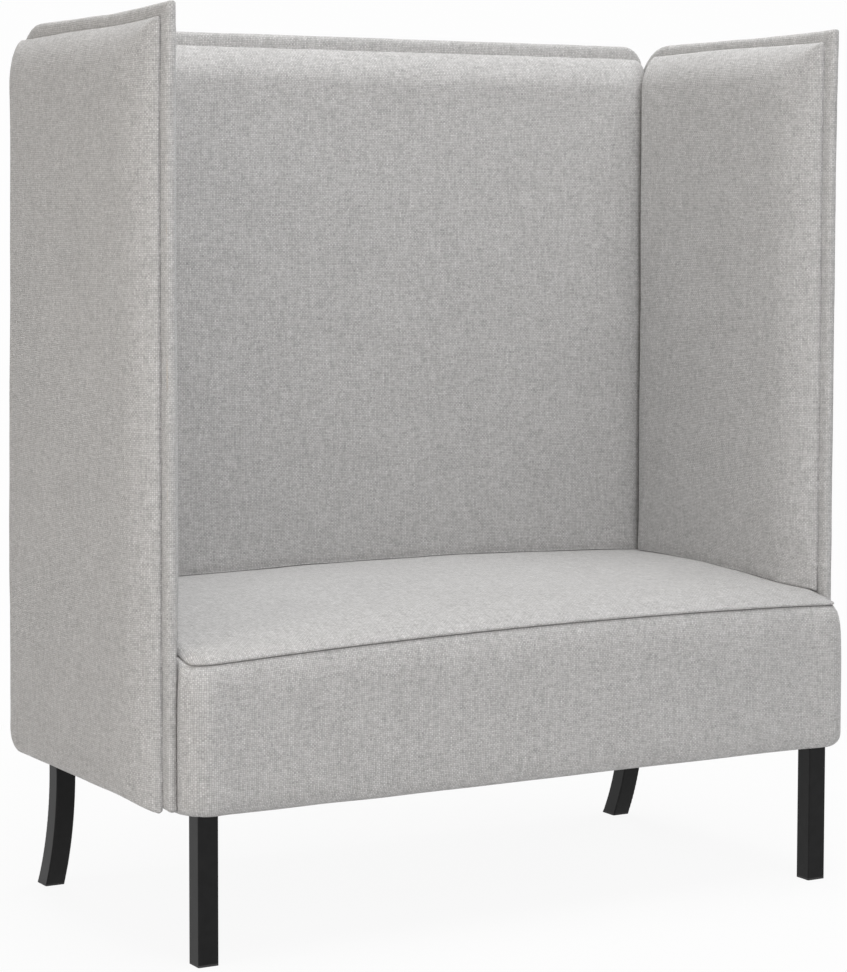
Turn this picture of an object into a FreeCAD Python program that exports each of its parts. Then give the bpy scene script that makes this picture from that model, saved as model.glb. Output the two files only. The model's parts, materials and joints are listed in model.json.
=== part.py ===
"""High-back two-seat sofa: three padded panels around a sprung seat on four steel legs.

Millimetres. X runs to the right as seen from the front, Y from the front to the back, Z up.
The origin is on the floor, under the middle of the sofa's box. Right pieces lie at positive X.
"""
import FreeCAD, Part
import math
import os
import re

import Sketcher
from FreeCAD import Vector

SIZES = (
    # The space for the sitters
    ("clear_width", 1000, "between the two side inner pads"),
    ("clear_depth", 500, "from the seat's front to the back's inner pad"),
    # Panels
    ("inner_pad", 37, "thickness of an inner pad with its cover"),
    ("core", 15, "thickness of a panel board"),
    ("outer_pad", 33, "thickness of an outer pad with its cover"),
    ("fabric", 1.5, "thickness of the upholstery fabric"),
    ("panel_top", 1270, "height of the wrapped edge"),
    ("panel_foot", 213, "height of the panels' lower edge"),
    ("panel_setback", 40, "how far the panels stop behind the seat's front"),
    ("edge_proud", 20, "how far the wrapped edge stands beyond the pads"),
    ("wrap_reach", 34, "how far the edge wrap reaches over the board"),
    ("back_end_radius", 46, "rounding of the back's wrapped edge at its upper corners"),
    ("side_end_radius", 80, "rounding of the side panels' upper rear corner"),
    ("side_foot_radius", 50, "rounding of the side panels' lower rear corner"),
    ("pad_corner", 6, "corner radius of a pad where it looks square"),
    ("pad_rear_top", 60, "upper rear corner radius of a side outer pad"),
    ("pad_rear_foot", 60, "lower rear corner radius of a side outer pad"),
    ("back_pad_corner", 40, "corner radius of the back's pads"),
    ("pad_shoulder", 60, "how far in from its widest outline a pad becomes level"),
    ("pad_gap", 0.5, "clearance between pads, and between pads and seat"),
    # Seat upholstery
    ("seat_foot", 203, "height of the seat's underside"),
    ("seam_end", 408, "height of the front seam at its ends"),
    ("seam_mid", 422, "height of the front seam in the middle"),
    ("crown_end", 448, "greatest height of the seat along its ends"),
    ("crown_mid", 463, "greatest height of the seat in the middle"),
    ("seat_corner", 20, "radius of the seat's front corners"),
    ("seat_foot_radius", 12, "rounding of the seat's lower edge"),
    ("seat_gap", 0.3, "clearance between the seat and the panel boards"),
    ("front_foam", 10, "foam in front of the front rail"),
    ("cover_lip", 25, "how far the seat cover turns under the frame"),
    ("felt", 5, "thickness of the felt over the springs"),
    ("dust_sheet", 0.8, "thickness of the dust cover"),
    ("dust_margin", 18, "how far the dust cover stops inside the seat's edge"),
    # Seat frame
    ("rail_thick", 25, "thickness of a seat rail"),
    ("rail_high", 100, "height of a seat rail"),
    ("frame_gap", 0.2, "clearance between the frame and the seat cover"),
    ("stretcher_high", 80, "height of the centre stretcher"),
    ("block_side", 80, "side of a corner block"),
    ("block_high", 50, "height of a corner block"),
    # Springs
    ("spring_count", 7, "number of zigzag springs"),
    ("spring_pitch", 140, "distance between springs"),
    ("spring_wire", 3.8, "wire diameter"),
    ("spring_bend", 12, "radius of a bend, at the middle of the wire"),
    ("spring_half_run", 12, "half the straight run between bends"),
    ("clip_wide", 18, "length of a spring clip along its rail"),
    ("clip_sheet", 1.2, "thickness of the clip's steel"),
    ("clip_slack", 0.1, "play of the wire in its clip"),
    ("clip_deep", 14, "depth of a clip across its rail"),
    # Legs
    ("tube_side", 30, "outer side of the square leg tube"),
    ("tube_wall", 2, "wall of the leg tube"),
    ("tube_corner", 2, "outer corner radius of the leg tube"),
    ("leg_side_inset", 15, "leg's outer face from the seat's side"),
    ("leg_end_inset", 12, "leg's outer face from the seat's front or rear"),
    ("leg_bend_top", 185, "height where a rear leg starts to sweep back"),
    ("leg_bend_radius", 385, "sweep radius at the tube's middle"),
    ("plate_side", 80, "side of a leg's top plate"),
    ("plate_thick", 4, "thickness of a leg's top plate"),
    ("plate_recess", 9, "how far the plates sit up inside the frame"),
    ("glide_thick", 3, "plastic glide under a leg"),
    ("glide_plug", 15, "length of the glide's plug inside the tube"),
    ("plug_gap", 0.4, "clearance of the plug in the tube"),
    ("leg_slot_gap", 2, "room around a leg in the cover and the dust sheet"),
    # Fasteners
    ("leg_screw", 6, "leg screw diameter"),
    ("leg_screw_head", 11, "leg screw head diameter"),
    ("leg_screw_head_high", 3.5, "leg screw head height"),
    ("leg_screw_long", 35, "leg screw length under the head"),
    ("leg_screw_near", 40, "nearer screws, from the leg's outer corner"),
    ("leg_screw_far", 65, "farther screws, from the leg's outer corner"),
    ("bolt", 8, "panel bolt diameter"),
    ("bolt_head", 14, "panel bolt head diameter"),
    ("bolt_head_high", 5.5, "panel bolt head height"),
    ("bolt_level", 265, "height of the panel bolts"),
    ("side_bolt_pitch", 130, "distance between the bolts of a side panel"),
    ("back_bolt_near", 130, "inner back bolts, from the middle"),
    ("back_bolt_far", 390, "outer back bolts, from the middle"),
    ("washer_wide", 24, "washer diameter"),
    ("washer_thick", 2, "washer thickness"),
    ("nut_barrel", 10.4, "tee nut barrel diameter"),
    ("nut_flange", 22, "tee nut flange diameter"),
    ("nut_flange_thick", 1.5, "tee nut flange thickness"),
    ("nut_long", 12, "tee nut length with its flange"),
    ("joint_screw", 6.3, "diameter of the screws that join the boards"),
    ("joint_screw_head", 10, "head diameter of those screws"),
    ("joint_screw_head_high", 3, "head height of those screws"),
    ("joint_screw_long", 50, "length of those screws with the head"),
    ("joint_screw_first", 520, "height of the lowest of those screws"),
    ("joint_screw_pitch", 220, "distance between those screws"),
    ("joint_screw_count", 4, "number of those screws at each side"),
    ("hole_gap", 0.2, "clearance of a hole around what passes through it"),
)

# Places that follow from the sizes
CORE_IN = "(clear_width / 2 + inner_pad)"
CORE_OUT = f"({CORE_IN} + core)"
DEPTH = "(clear_depth + inner_pad + core + outer_pad)"
FRONT = f"(-{DEPTH} / 2)"
BACK_FACE = f"({FRONT} + clear_depth)"
BACK_IN = f"({BACK_FACE} + inner_pad)"
BACK_OUT = f"({BACK_IN} + core)"
PANEL_FRONT = f"({FRONT} + panel_setback)"
PAD_FRONT = f"({PANEL_FRONT} + edge_proud)"
PAD_TOP = "(panel_top - edge_proud)"
SEAT_HALF = f"({CORE_IN} - seat_gap)"
SEAT_REAR = f"({BACK_IN} - seat_gap)"
FRAME_HALF = f"({SEAT_HALF} - fabric - frame_gap)"
FRAME_FRONT = f"({FRONT} + fabric + front_foam)"
FRAME_REAR = f"({SEAT_REAR} - fabric)"
FRAME_FOOT = "(seat_foot + fabric)"
FRAME_TOP = f"({FRAME_FOOT} + rail_high)"
RAIL_IN = f"({FRAME_HALF} - rail_thick)"
RAIL_FRONT_IN = f"({FRAME_FRONT} + rail_thick)"
RAIL_REAR_IN = f"({FRAME_REAR} - rail_thick)"
SPRING_LEVEL = f"({FRAME_TOP} + clip_sheet + clip_slack + spring_wire / 2)"
FELT_FOOT = f"({FRAME_TOP} + 2 * clip_sheet + 2 * clip_slack + spring_wire)"
FOAM_FOOT = f"({FELT_FOOT} + felt)"
LEG_OUT = f"({SEAT_HALF} - leg_side_inset)"
LEG_FRONT = f"({FRONT} + leg_end_inset)"
LEG_REAR = f"({SEAT_REAR} - leg_end_inset)"
PLATE_TOP = f"({FRAME_FOOT} + plate_recess)"
PLATE_FOOT = f"({PLATE_TOP} - plate_thick)"

# A pad's edge in section is an arc: it leans out from the board by this angle and ends level
PAD_LEAN = math.radians(20)
PAD_SECTIONS = 8
# Share of the seat's depth, and share of the crown's rise above the front seam
SEAT_PROFILE = (
    (0, 0), (0.02, 0.17), (0.05, 0.33), (0.1, 0.5), (0.18, 0.64),
    (0.3, 0.78), (0.46, 0.91), (0.66, 1), (0.85, 0.98), (1, 0.93),
)
# A rear leg's sweep turns past the floor by this factor, and is then cut level
SWEEP_PAST = 1.1
# How far tools that cut reach beyond what they cut
REACH = "100"
SMALL_REACH = "1"
# Places closer than this are the same
NEAR = 0.01
PLANES = {"XY": "XY_Plane", "YZ": "YZ_Plane", "XZ": "XZ_Plane"}

doc = FreeCAD.newDocument("high_back_sofa")
sheet = doc.addObject("Spreadsheet::Sheet", "sizes")
for row, (alias, size, note) in enumerate(SIZES, start=1):
    sheet.set(f"A{row}", note)
    sheet.set(f"B{row}", str(size))
    sheet.setAlias(f"B{row}", alias)
doc.recompute()

ALIASES = {alias for alias, _, _ in SIZES}
pieces = []


def formula(text):
    """The text as an expression, with each size's name pointing at its cell."""
    return re.sub(r"[a-z_]+", lambda word: "sizes." * (word[0] in ALIASES) + word[0], text)


def number(text):
    return float(sheet.evalExpression(formula(text)))


def bind(item, place, text):
    item.setExpression(place, formula(text))


def piece(item):
    """Marks a finished sub-part."""
    pieces.append(item)
    return item


def new_body(name):
    return doc.addObject("PartDesign::Body", name)


def place_point(sketch, geometry, point, x_text, y_text):
    """Holds a point of a sketch at a place given by two formulas."""
    for kind, text in (("DistanceX", x_text), ("DistanceY", y_text)):
        index = sketch.addConstraint(Sketcher.Constraint(kind, -1, 1, geometry, point, number(text)))
        bind(sketch, f"Constraints[{index}]", text)


def draw_corner(sketch, before, after, corner, towards_before, towards_after):
    """Rounds the corner between two lines with an arc tangent to both."""
    x_text, y_text, radius_text = corner
    radius = number(radius_text)
    centre = Vector(number(x_text), number(y_text)) + (towards_before + towards_after) * radius
    angle_before = math.atan2(-towards_after.y, -towards_after.x)
    angle_after = math.atan2(-towards_before.y, -towards_before.x)
    turns_left = towards_after.cross(towards_before).z > 0
    ends = (angle_before, angle_after) if turns_left else (angle_after, angle_before)
    arc = sketch.addGeometry(Part.ArcOfCircle(Part.Circle(centre, Vector(0, 0, 1), radius), *ends), False)
    first, last = (1, 2) if turns_left else (2, 1)
    sketch.addConstraint(Sketcher.Constraint("Tangent", before, 2, arc, first))
    sketch.addConstraint(Sketcher.Constraint("Tangent", arc, last, after, 1))
    index = sketch.addConstraint(Sketcher.Constraint("Radius", arc, radius))
    bind(sketch, f"Constraints[{index}]", radius_text)


def draw_loop(sketch, corners):
    """A closed outline of level and upright lines; a corner is (x, y) or (x, y, radius)."""
    count = len(corners)
    spots = [Vector(number(corner[0]), number(corner[1])) for corner in corners]
    radii = [number(corner[2]) if len(corner) == 3 else 0 for corner in corners]
    ways = [(spots[(i + 1) % count] - spots[i]).normalize() for i in range(count)]
    lines = []
    for i in range(count):
        j = (i + 1) % count
        start = spots[i] + ways[i] * radii[i]
        end = spots[j] - ways[i] * radii[j]
        line = sketch.addGeometry(Part.LineSegment(start, end), False)
        level = corners[i][1] == corners[j][1]
        sketch.addConstraint(Sketcher.Constraint("Horizontal" if level else "Vertical", line))
        kind, text = ("DistanceY", corners[i][1]) if level else ("DistanceX", corners[i][0])
        index = sketch.addConstraint(Sketcher.Constraint(kind, -1, 1, line, 1, number(text)))
        bind(sketch, f"Constraints[{index}]", text)
        lines.append(line)
    for i in range(count):
        if radii[i] > 0:
            draw_corner(sketch, lines[i - 1], lines[i], corners[i], -ways[i - 1], ways[i])
        else:
            sketch.addConstraint(Sketcher.Constraint("Coincident", lines[i - 1], 2, lines[i], 1))


def draw_circles(sketch, centres, diameter):
    for x_text, y_text in centres:
        middle = Vector(number(x_text), number(y_text))
        circle = Part.Circle(middle, Vector(0, 0, 1), number(diameter) / 2)
        ring = sketch.addGeometry(circle, False)
        place_point(sketch, ring, 3, x_text, y_text)
        index = sketch.addConstraint(Sketcher.Constraint("Diameter", ring, number(diameter)))
        bind(sketch, f"Constraints[{index}]", diameter)


def new_sketch(body, plane, level):
    """An empty sketch across the axis that the plane leaves out, at a level on that axis."""
    sketch = body.newObject("Sketcher::SketchObject", f"{body.Name}_sketch")
    support = next(item for item in body.Origin.OriginFeatures if item.Role == PLANES[plane])
    sketch.AttachmentSupport = [(support, "")]
    sketch.MapMode = "FlatFace"
    bind(sketch, "AttachmentOffset.Base.z", f"-({level})" if plane == "XZ" else level)
    return sketch


def new_drawing(body, plane, level, loops, circles):
    sketch = new_sketch(body, plane, level)
    for corners in loops:
        draw_loop(sketch, corners)
    for centres, diameter in circles:
        draw_circles(sketch, centres, diameter)
    return sketch


def pad(body, plane, level, length, loops=(), circles=()):
    """Adds a prism that starts at the level and runs up its axis."""
    feature = body.newObject("PartDesign::Pad", f"{body.Name}_pad")
    feature.Profile = new_drawing(body, plane, level, loops, circles)
    bind(feature, "Length", length)
    feature.Reversed = plane == "XZ"
    body.Tip = feature


def cut(body, plane, level, length, loops=(), circles=()):
    """Cuts a prism that starts at the level and runs up its axis, and makes sure that it cuts."""
    doc.recompute()
    volume = body.Shape.Volume
    feature = body.newObject("PartDesign::Pocket", f"{body.Name}_cut")
    feature.Profile = new_drawing(body, plane, level, loops, circles)
    bind(feature, "Length", length)
    feature.Reversed = plane != "XZ"
    body.Tip = feature
    doc.recompute()
    if body.Shape.Volume >= volume:
        raise ValueError(f"a pocket of {body.Name} cuts nothing")


def add_fillet(body, edges, radius):
    """Rounds the named edges of a body's last feature."""
    base = body.Tip
    fillet = body.newObject("PartDesign::Fillet", f"{body.Name}_fillet")
    fillet.Base = (base, edges)
    bind(fillet, "Radius", radius)
    body.Tip = fillet


def rectangle(x_low, y_low, x_high, y_high):
    return [(x_low, y_low), (x_high, y_low), (x_high, y_high), (x_low, y_high)]


def new_box(name, low, high):
    """A block between two corners."""
    block = doc.addObject("Part::Box", name)
    for side, axis, start, end in zip(("Length", "Width", "Height"), "xyz", low, high):
        bind(block, side, f"{end} - {start}")
        bind(block, f"Placement.Base.{axis}", start)
    return block


def combine(kind, name, base, tool):
    result = doc.addObject(f"Part::{kind}", name)
    result.Base = base
    result.Tool = tool
    return result


def mirror(source, name):
    """The left-hand copy of a right-hand piece."""
    copy = doc.addObject("Part::Mirroring", name)
    copy.Source = source
    copy.Normal = Vector(1, 0, 0)
    return piece(copy)


def both_sides(item):
    """Marks a right-hand piece as finished and makes its left-hand twin."""
    piece(item)
    mirror(item, item.Name.replace("right", "left"))


def along_x(low, high, sign):
    """Where a prism starts, on the right side or mirrored on the left."""
    return low if sign > 0 else f"(-({high}))"


# Panel boards and their wrapped edges


def side_bolt_spots():
    middle = f"({FRAME_FRONT} + {FRAME_REAR}) / 2"
    return [(f"{middle} + {step} * side_bolt_pitch", "bolt_level") for step in (-1, 0, 1)]


def back_bolt_spots():
    places = ("-back_bolt_far", "-back_bolt_near", "back_bolt_near", "back_bolt_far")
    return [(place, "bolt_level") for place in places]


def joint_screw_spots():
    count = int(number("joint_screw_count"))
    level = "joint_screw_first + {} * joint_screw_pitch"
    return [(f"{BACK_IN} + core / 2", level.format(step)) for step in range(count)]


def side_outline(inset):
    """Outline of a side panel's board, inset from its wrapped edge; rounded at the rear."""
    front = f"{PANEL_FRONT} + {inset}"
    rear = f"{BACK_OUT} - {inset}"
    foot = f"panel_foot + {inset}"
    top = f"panel_top - {inset}"
    foot_corner = (rear, foot, f"side_foot_radius - {inset}")
    top_corner = (rear, top, f"side_end_radius - {inset}")
    return [(front, foot), foot_corner, top_corner, (front, top)]


def side_thick_zone():
    """The part of a side board that keeps its full thickness, inside the wrap's reach."""
    rear = f"{BACK_OUT} - wrap_reach"
    return rectangle(f"{PANEL_FRONT} + wrap_reach", "panel_foot + wrap_reach", rear, "panel_top - wrap_reach")


def back_outline(inset):
    """Outline of the back panel's board, inset from its wrapped edge; rounded at the top."""
    half = f"({CORE_IN} - {inset})"
    foot = f"panel_foot + {inset}"
    top = f"panel_top - {inset}"
    radius = f"back_end_radius - {inset}"
    return [(f"-{half}", foot), (half, foot), (half, top, radius), (f"-{half}", top, radius)]


def back_thick_zone():
    half = f"({CORE_IN} - wrap_reach)"
    return rectangle(f"-{half}", "panel_foot + wrap_reach", half, "panel_top - wrap_reach")


def cut_joint_screws(body, sign):
    """Cuts the holes for the screws that join a side board to the back board."""
    tip = f"({CORE_OUT} - joint_screw_long - hole_gap)"
    start = along_x(tip, CORE_OUT, sign)
    shank_holes = [(joint_screw_spots(), "joint_screw + hole_gap")]
    cut(body, "YZ", start, f"{CORE_OUT} - {tip}", circles=shank_holes)


def cut_joint_heads(body):
    """Cuts the seats of those screws' heads into the outer face."""
    neck = f"({CORE_OUT} - joint_screw_head_high)"
    head_holes = [(joint_screw_spots(), "joint_screw_head + hole_gap")]
    cut(body, "YZ", neck, REACH, circles=head_holes)


def make_side_board():
    board = new_body("right_panel_board")
    pad(board, "YZ", f"{CORE_IN} + fabric", "core - 2 * fabric", [side_outline("fabric")])
    pad(board, "YZ", CORE_IN, "core", [side_thick_zone()])
    cut(board, "YZ", CORE_IN, "core", circles=[(side_bolt_spots(), "nut_barrel + hole_gap")])
    flange_seat = f"{CORE_OUT} - nut_flange_thick"
    cut(board, "YZ", flange_seat, REACH, circles=[(side_bolt_spots(), "nut_flange + hole_gap")])
    cut_joint_screws(board, 1)
    cut_joint_heads(board)
    both_sides(board)


def make_side_wrap():
    wrap = new_body("right_edge_wrap")
    pad(wrap, "YZ", CORE_IN, "core", [side_outline("0"), side_thick_zone()])
    cut(wrap, "YZ", f"{CORE_IN} + fabric", "core - 2 * fabric", [side_outline("fabric")])
    cut_joint_screws(wrap, 1)
    cut_joint_heads(wrap)
    both_sides(wrap)


def make_back_board():
    board = new_body("back_panel_board")
    pad(board, "XZ", f"{BACK_IN} + fabric", "core - 2 * fabric", [back_outline("fabric")])
    pad(board, "XZ", BACK_IN, "core", [back_thick_zone()])
    cut(board, "XZ", BACK_IN, "core", circles=[(back_bolt_spots(), "nut_barrel + hole_gap")])
    flange_seat = f"{BACK_OUT} - nut_flange_thick"
    cut(board, "XZ", flange_seat, REACH, circles=[(back_bolt_spots(), "nut_flange + hole_gap")])
    for sign in (1, -1):
        cut_joint_screws(board, sign)
    piece(board)


def make_back_wrap():
    wrap = new_body("back_edge_wrap")
    pad(wrap, "XZ", BACK_IN, "core", [back_outline("0"), back_thick_zone()])
    cut(wrap, "XZ", f"{BACK_IN} + fabric", "core - 2 * fabric", [back_outline("fabric")])
    for sign in (1, -1):
        cut_joint_screws(wrap, sign)
    piece(wrap)


# Crowned pads


def pad_profile():
    """Up a pad's edge: the share of its thickness, and the share of its shoulder that it is drawn in."""
    for step in range(PAD_SECTIONS):
        angle = -PAD_LEAN + (math.pi / 2 + PAD_LEAN) * step / (PAD_SECTIONS - 1)
        share = (math.sin(angle) + math.sin(PAD_LEAN)) / (1 + math.sin(PAD_LEAN))
        yield share, 1 - math.cos(angle)


def make_pad_form(name, plane, base, outward, thickness, outline, skin):
    """A crowned pad drawn in at its edges; skin is how far it lies inside the pad's surface."""
    low, foot, high, top, radii = outline
    body = new_body(name)
    sections = []
    for share, drawn_in in pad_profile():
        inset = f"({drawn_in:.6f} * pad_shoulder + {skin})"
        level = f"{base} + ({outward}) * {share:.6f} * ({thickness} - {skin})"
        sketch = new_sketch(body, plane, level)
        rounding = [f"{radius} + {drawn_in:.6f} * pad_shoulder / 2" for radius in radii]
        spots = (
            (f"{low} + {inset}", f"{foot} + {inset}"),
            (f"{high} - {inset}", f"{foot} + {inset}"),
            (f"{high} - {inset}", f"{top} - {inset}"),
            (f"{low} + {inset}", f"{top} - {inset}"),
        )
        draw_loop(sketch, [(x, y, radius) for (x, y), radius in zip(spots, rounding)])
        sections.append(sketch)
    loft = body.newObject("PartDesign::AdditiveLoft", f"{name}_loft")
    loft.Profile = sections[0]
    loft.Sections = sections[1:]
    loft.Ruled = True
    body.Tip = loft
    return body


def make_pad(name, plane, base, outward, thickness, outline, seat_room=None):
    """A pad's foam and its cover; where the pad stands on the seat, both are cut to it."""
    outside = make_pad_form(f"{name}_outside", plane, base, outward, thickness, outline, "0")
    if seat_room is None:
        foam = make_pad_form(f"{name}_foam", plane, base, outward, thickness, outline, "fabric")
        return foam, combine("Cut", f"{name}_cover", outside, foam)
    inside = make_pad_form(f"{name}_inside", plane, base, outward, thickness, outline, "fabric")
    foam = combine("Cut", f"{name}_foam", inside, seat_room)
    shell = combine("Cut", f"{name}_shell", outside, inside)
    return foam, combine("Cut", f"{name}_cover", shell, seat_room)


def make_side_pads(seat_room):
    small = "pad_corner"
    inner = (PAD_FRONT, "seam_end", f"{BACK_FACE} - pad_gap", PAD_TOP, (small, small, small, small))
    outer_radii = (small, "pad_rear_foot", "pad_rear_top", small)
    outer = (PAD_FRONT, "panel_foot", BACK_OUT, PAD_TOP, outer_radii)
    made = make_pad("right_inner_pad", "YZ", CORE_IN, -1, "inner_pad", inner, seat_room)
    made += make_pad("right_outer_pad", "YZ", CORE_OUT, 1, "outer_pad", outer)
    for item in made:
        both_sides(item)


def make_back_pads(seat_room):
    small = "pad_corner"
    wide = "back_pad_corner"
    half = f"({CORE_IN} - pad_gap)"
    inner = (f"-{half}", "seam_end", half, PAD_TOP, (small, small, wide, wide))
    outer = (f"-{half}", "panel_foot", half, PAD_TOP, (wide, wide, wide, wide))
    made = make_pad("back_inner_pad", "XZ", BACK_IN, -1, "inner_pad", inner, seat_room)
    made += make_pad("back_outer_pad", "XZ", BACK_OUT, 1, "outer_pad", outer)
    for item in made:
        piece(item)


# Seat upholstery


def make_seat_prism(name, skin):
    """The seat's upright sides, with rounded front corners and a soft lower edge."""
    half = f"({SEAT_HALF} - {skin})"
    front = f"({FRONT} + {skin})"
    rear = f"({SEAT_REAR} - {skin})"
    foot = f"(seat_foot + {skin})"
    round_off = f"seat_corner - {skin}"
    body = new_body(name)
    corners = [(f"-{half}", front, round_off), (half, front, round_off), (half, rear), (f"-{half}", rear)]
    pad(body, "XY", foot, f"crown_mid + {REACH} - {foot}", [corners])
    doc.recompute()
    level = number(foot)
    rear_line = number(rear)
    edges = []
    for index, edge in enumerate(body.Shape.Edges, start=1):
        box = edge.BoundBox
        if abs(box.ZMax - level) < NEAR and box.YMin < rear_line - NEAR:
            edges.append(f"Edge{index}")
    add_fillet(body, edges, f"seat_foot_radius - {skin}")
    return body


def draw_crown(sketch, foot, end, middle):
    """A section across the seat: level foot, upright sides, and an arc through its ends and middle."""
    half = f"({SEAT_HALF} + seat_corner)"
    rise = f"({middle} - {end})"
    radius_text = f"({SEAT_HALF} ^ 2 + {rise} ^ 2) / (2 * {rise})"
    radius = number(radius_text)
    wide = number(half)
    low = number(foot)
    centre = Vector(0, number(middle) - radius)
    high = centre.y + math.sqrt(radius ** 2 - wide ** 2)
    points = (Vector(-wide, high), Vector(-wide, low), Vector(wide, low), Vector(wide, high))
    sides = []
    for start, end_point in zip(points, points[1:]):
        sides.append(sketch.addGeometry(Part.LineSegment(start, end_point), False))
    lean = math.asin(wide / radius)
    circle = Part.Circle(centre, Vector(0, 0, 1), radius)
    arc = sketch.addGeometry(Part.ArcOfCircle(circle, math.pi / 2 - lean, math.pi / 2 + lean), False)
    left, base, right = sides
    for first, first_end, second, second_end in (
        (left, 2, base, 1),
        (base, 2, right, 1),
        (right, 2, arc, 1),
        (arc, 2, left, 1),
    ):
        sketch.addConstraint(Sketcher.Constraint("Coincident", first, first_end, second, second_end))
    sketch.addConstraint(Sketcher.Constraint("Vertical", left))
    sketch.addConstraint(Sketcher.Constraint("Vertical", right))
    place_point(sketch, base, 1, f"-{half}", foot)
    place_point(sketch, base, 2, half, foot)
    sketch.addConstraint(Sketcher.Constraint("PointOnObject", arc, 3, -2))
    index = sketch.addConstraint(Sketcher.Constraint("Radius", arc, radius))
    bind(sketch, f"Constraints[{index}]", radius_text)
    index = sketch.addConstraint(Sketcher.Constraint("DistanceY", -1, 1, arc, 3, centre.y))
    bind(sketch, f"Constraints[{index}]", f"{middle} - {radius_text}")


def make_seat_form(name, skin):
    """The whole seat block; skin is how far it lies inside the cover's surface."""
    crown = new_body(f"{name}_crown")
    sections = []
    for share, rise in SEAT_PROFILE:
        level = f"{FRONT} - {SMALL_REACH} + {share} * ({SEAT_REAR} - {FRONT} + 2 * {SMALL_REACH})"
        sketch = new_sketch(crown, "XZ", level)
        end = f"(seam_end + {rise} * (crown_end - seam_end) - {skin})"
        middle = f"(seam_mid + {rise} * (crown_mid - seam_mid) - {skin})"
        draw_crown(sketch, f"(seat_foot - {REACH})", end, middle)
        sections.append(sketch)
    loft = crown.newObject("PartDesign::AdditiveLoft", f"{name}_loft")
    loft.Profile = sections[0]
    loft.Sections = sections[1:]
    loft.Ruled = True
    crown.Tip = loft
    return combine("Common", name, make_seat_prism(f"{name}_prism", skin), crown)


def leg_corners():
    """Outer corner of each leg at the seat, and the ways in towards the middle."""
    spots = []
    for x_sign in (1, -1):
        spots.append((f"{x_sign} * {LEG_OUT}", -x_sign, LEG_FRONT, 1))
        spots.append((f"{x_sign} * {LEG_OUT}", -x_sign, LEG_REAR, -1))
    return spots


def square_at(corner, start, end):
    """A square set into the seat from a leg's outer corner, as an outline."""
    x_corner, x_way, y_corner, y_way = corner
    x_ends = [f"({x_corner} + ({x_way}) * ({step}))" for step in (start, end)]
    y_ends = [f"({y_corner} + ({y_way}) * ({step}))" for step in (start, end)]
    x_low, x_high = x_ends if x_way > 0 else x_ends[::-1]
    y_low, y_high = y_ends if y_way > 0 else y_ends[::-1]
    return rectangle(x_low, y_low, x_high, y_high)


def tube_outline(corner):
    """A leg tube's outer outline, with rounded corners."""
    return [(x, y, "tube_corner") for x, y in square_at(corner, "0", "tube_side")]


def leg_slots():
    return [square_at(corner, "-leg_slot_gap", "tube_side + leg_slot_gap") for corner in leg_corners()]


def make_seat_upholstery():
    """The seat's cover and foam; returns the space inside the cover, and the room that the pads leave."""
    outside = make_seat_form("seat_outside", "0")
    inside = make_seat_form("seat_inside", "fabric")
    room = make_seat_form("seat_room", "(-pad_gap)")
    shell = combine("Cut", "seat_shell", outside, inside)
    openings = new_body("seat_cover_openings")
    half = f"({SEAT_HALF} - cover_lip)"
    under = rectangle(f"-{half}", f"({FRONT} + cover_lip)", half, f"({SEAT_REAR} - cover_lip)")
    below = f"(seat_foot - {REACH})"
    pad(openings, "XY", below, f"{REACH} + fabric", [under])
    pad(openings, "XY", below, f"{PLATE_TOP} - {below}", leg_slots())
    bolt_hole = "bolt + 2 * hole_gap"
    for sign in (1, -1):
        start = along_x(FRAME_HALF, CORE_IN, sign)
        pad(openings, "YZ", start, f"{CORE_IN} - {FRAME_HALF}", circles=[(side_bolt_spots(), bolt_hole)])
    pad(openings, "XZ", FRAME_REAR, f"{BACK_IN} - {FRAME_REAR}", circles=[(back_bolt_spots(), bolt_hole)])
    piece(combine("Cut", "seat_cover", shell, openings))
    frame_space = new_box(
        "seat_frame_space",
        (f"-{CORE_OUT}", FRAME_FRONT, f"(seat_foot - {REACH})"),
        (CORE_OUT, BACK_OUT, FOAM_FOOT),
    )
    piece(combine("Cut", "seat_foam", inside, frame_space))
    return inside, room


def make_spring_felt(seat_inside):
    """Felt over the springs, trimmed to lie inside the seat's cover."""
    low = (f"-{FRAME_HALF}", FRAME_FRONT, FELT_FOOT)
    blank = new_box("spring_felt_blank", low, (FRAME_HALF, FRAME_REAR, FOAM_FOOT))
    piece(combine("Common", "spring_felt", blank, seat_inside))


def make_dust_cover():
    sheet_body = new_body("dust_cover")
    half = f"({SEAT_HALF} - dust_margin)"
    outline = rectangle(f"-{half}", f"({FRONT} + dust_margin)", half, f"({SEAT_REAR} - dust_margin)")
    pad(sheet_body, "XY", "seat_foot - dust_sheet", "dust_sheet", [outline])
    cut(sheet_body, "XY", f"seat_foot - {REACH}", f"2 * {REACH}", leg_slots())
    piece(sheet_body)


# Seat frame


def add_end_rail(name, level):
    """The front or rear rail, notched at its lower ends for the leg plates."""
    rail = new_body(name)
    reach = f"({LEG_OUT} - plate_side - hole_gap)"
    outline = [
        (f"-{FRAME_HALF}", PLATE_TOP),
        (f"-{reach}", PLATE_TOP),
        (f"-{reach}", FRAME_FOOT),
        (reach, FRAME_FOOT),
        (reach, PLATE_TOP),
        (FRAME_HALF, PLATE_TOP),
        (FRAME_HALF, FRAME_TOP),
        (f"-{FRAME_HALF}", FRAME_TOP),
    ]
    pad(rail, "XZ", level, "rail_thick", [outline])
    return rail


def make_front_rail(seat_inside):
    """The front rail's ends and lower edge are trimmed to lie inside the seat's cover."""
    rail = add_end_rail("front_rail_blank", FRAME_FRONT)
    piece(combine("Common", "front_seat_rail", rail, seat_inside))


def make_rear_rail():
    rail = add_end_rail("rear_seat_rail", RAIL_REAR_IN)
    cut(rail, "XZ", RAIL_REAR_IN, "rail_thick", circles=[(back_bolt_spots(), "bolt + 2 * hole_gap")])
    piece(rail)


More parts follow.
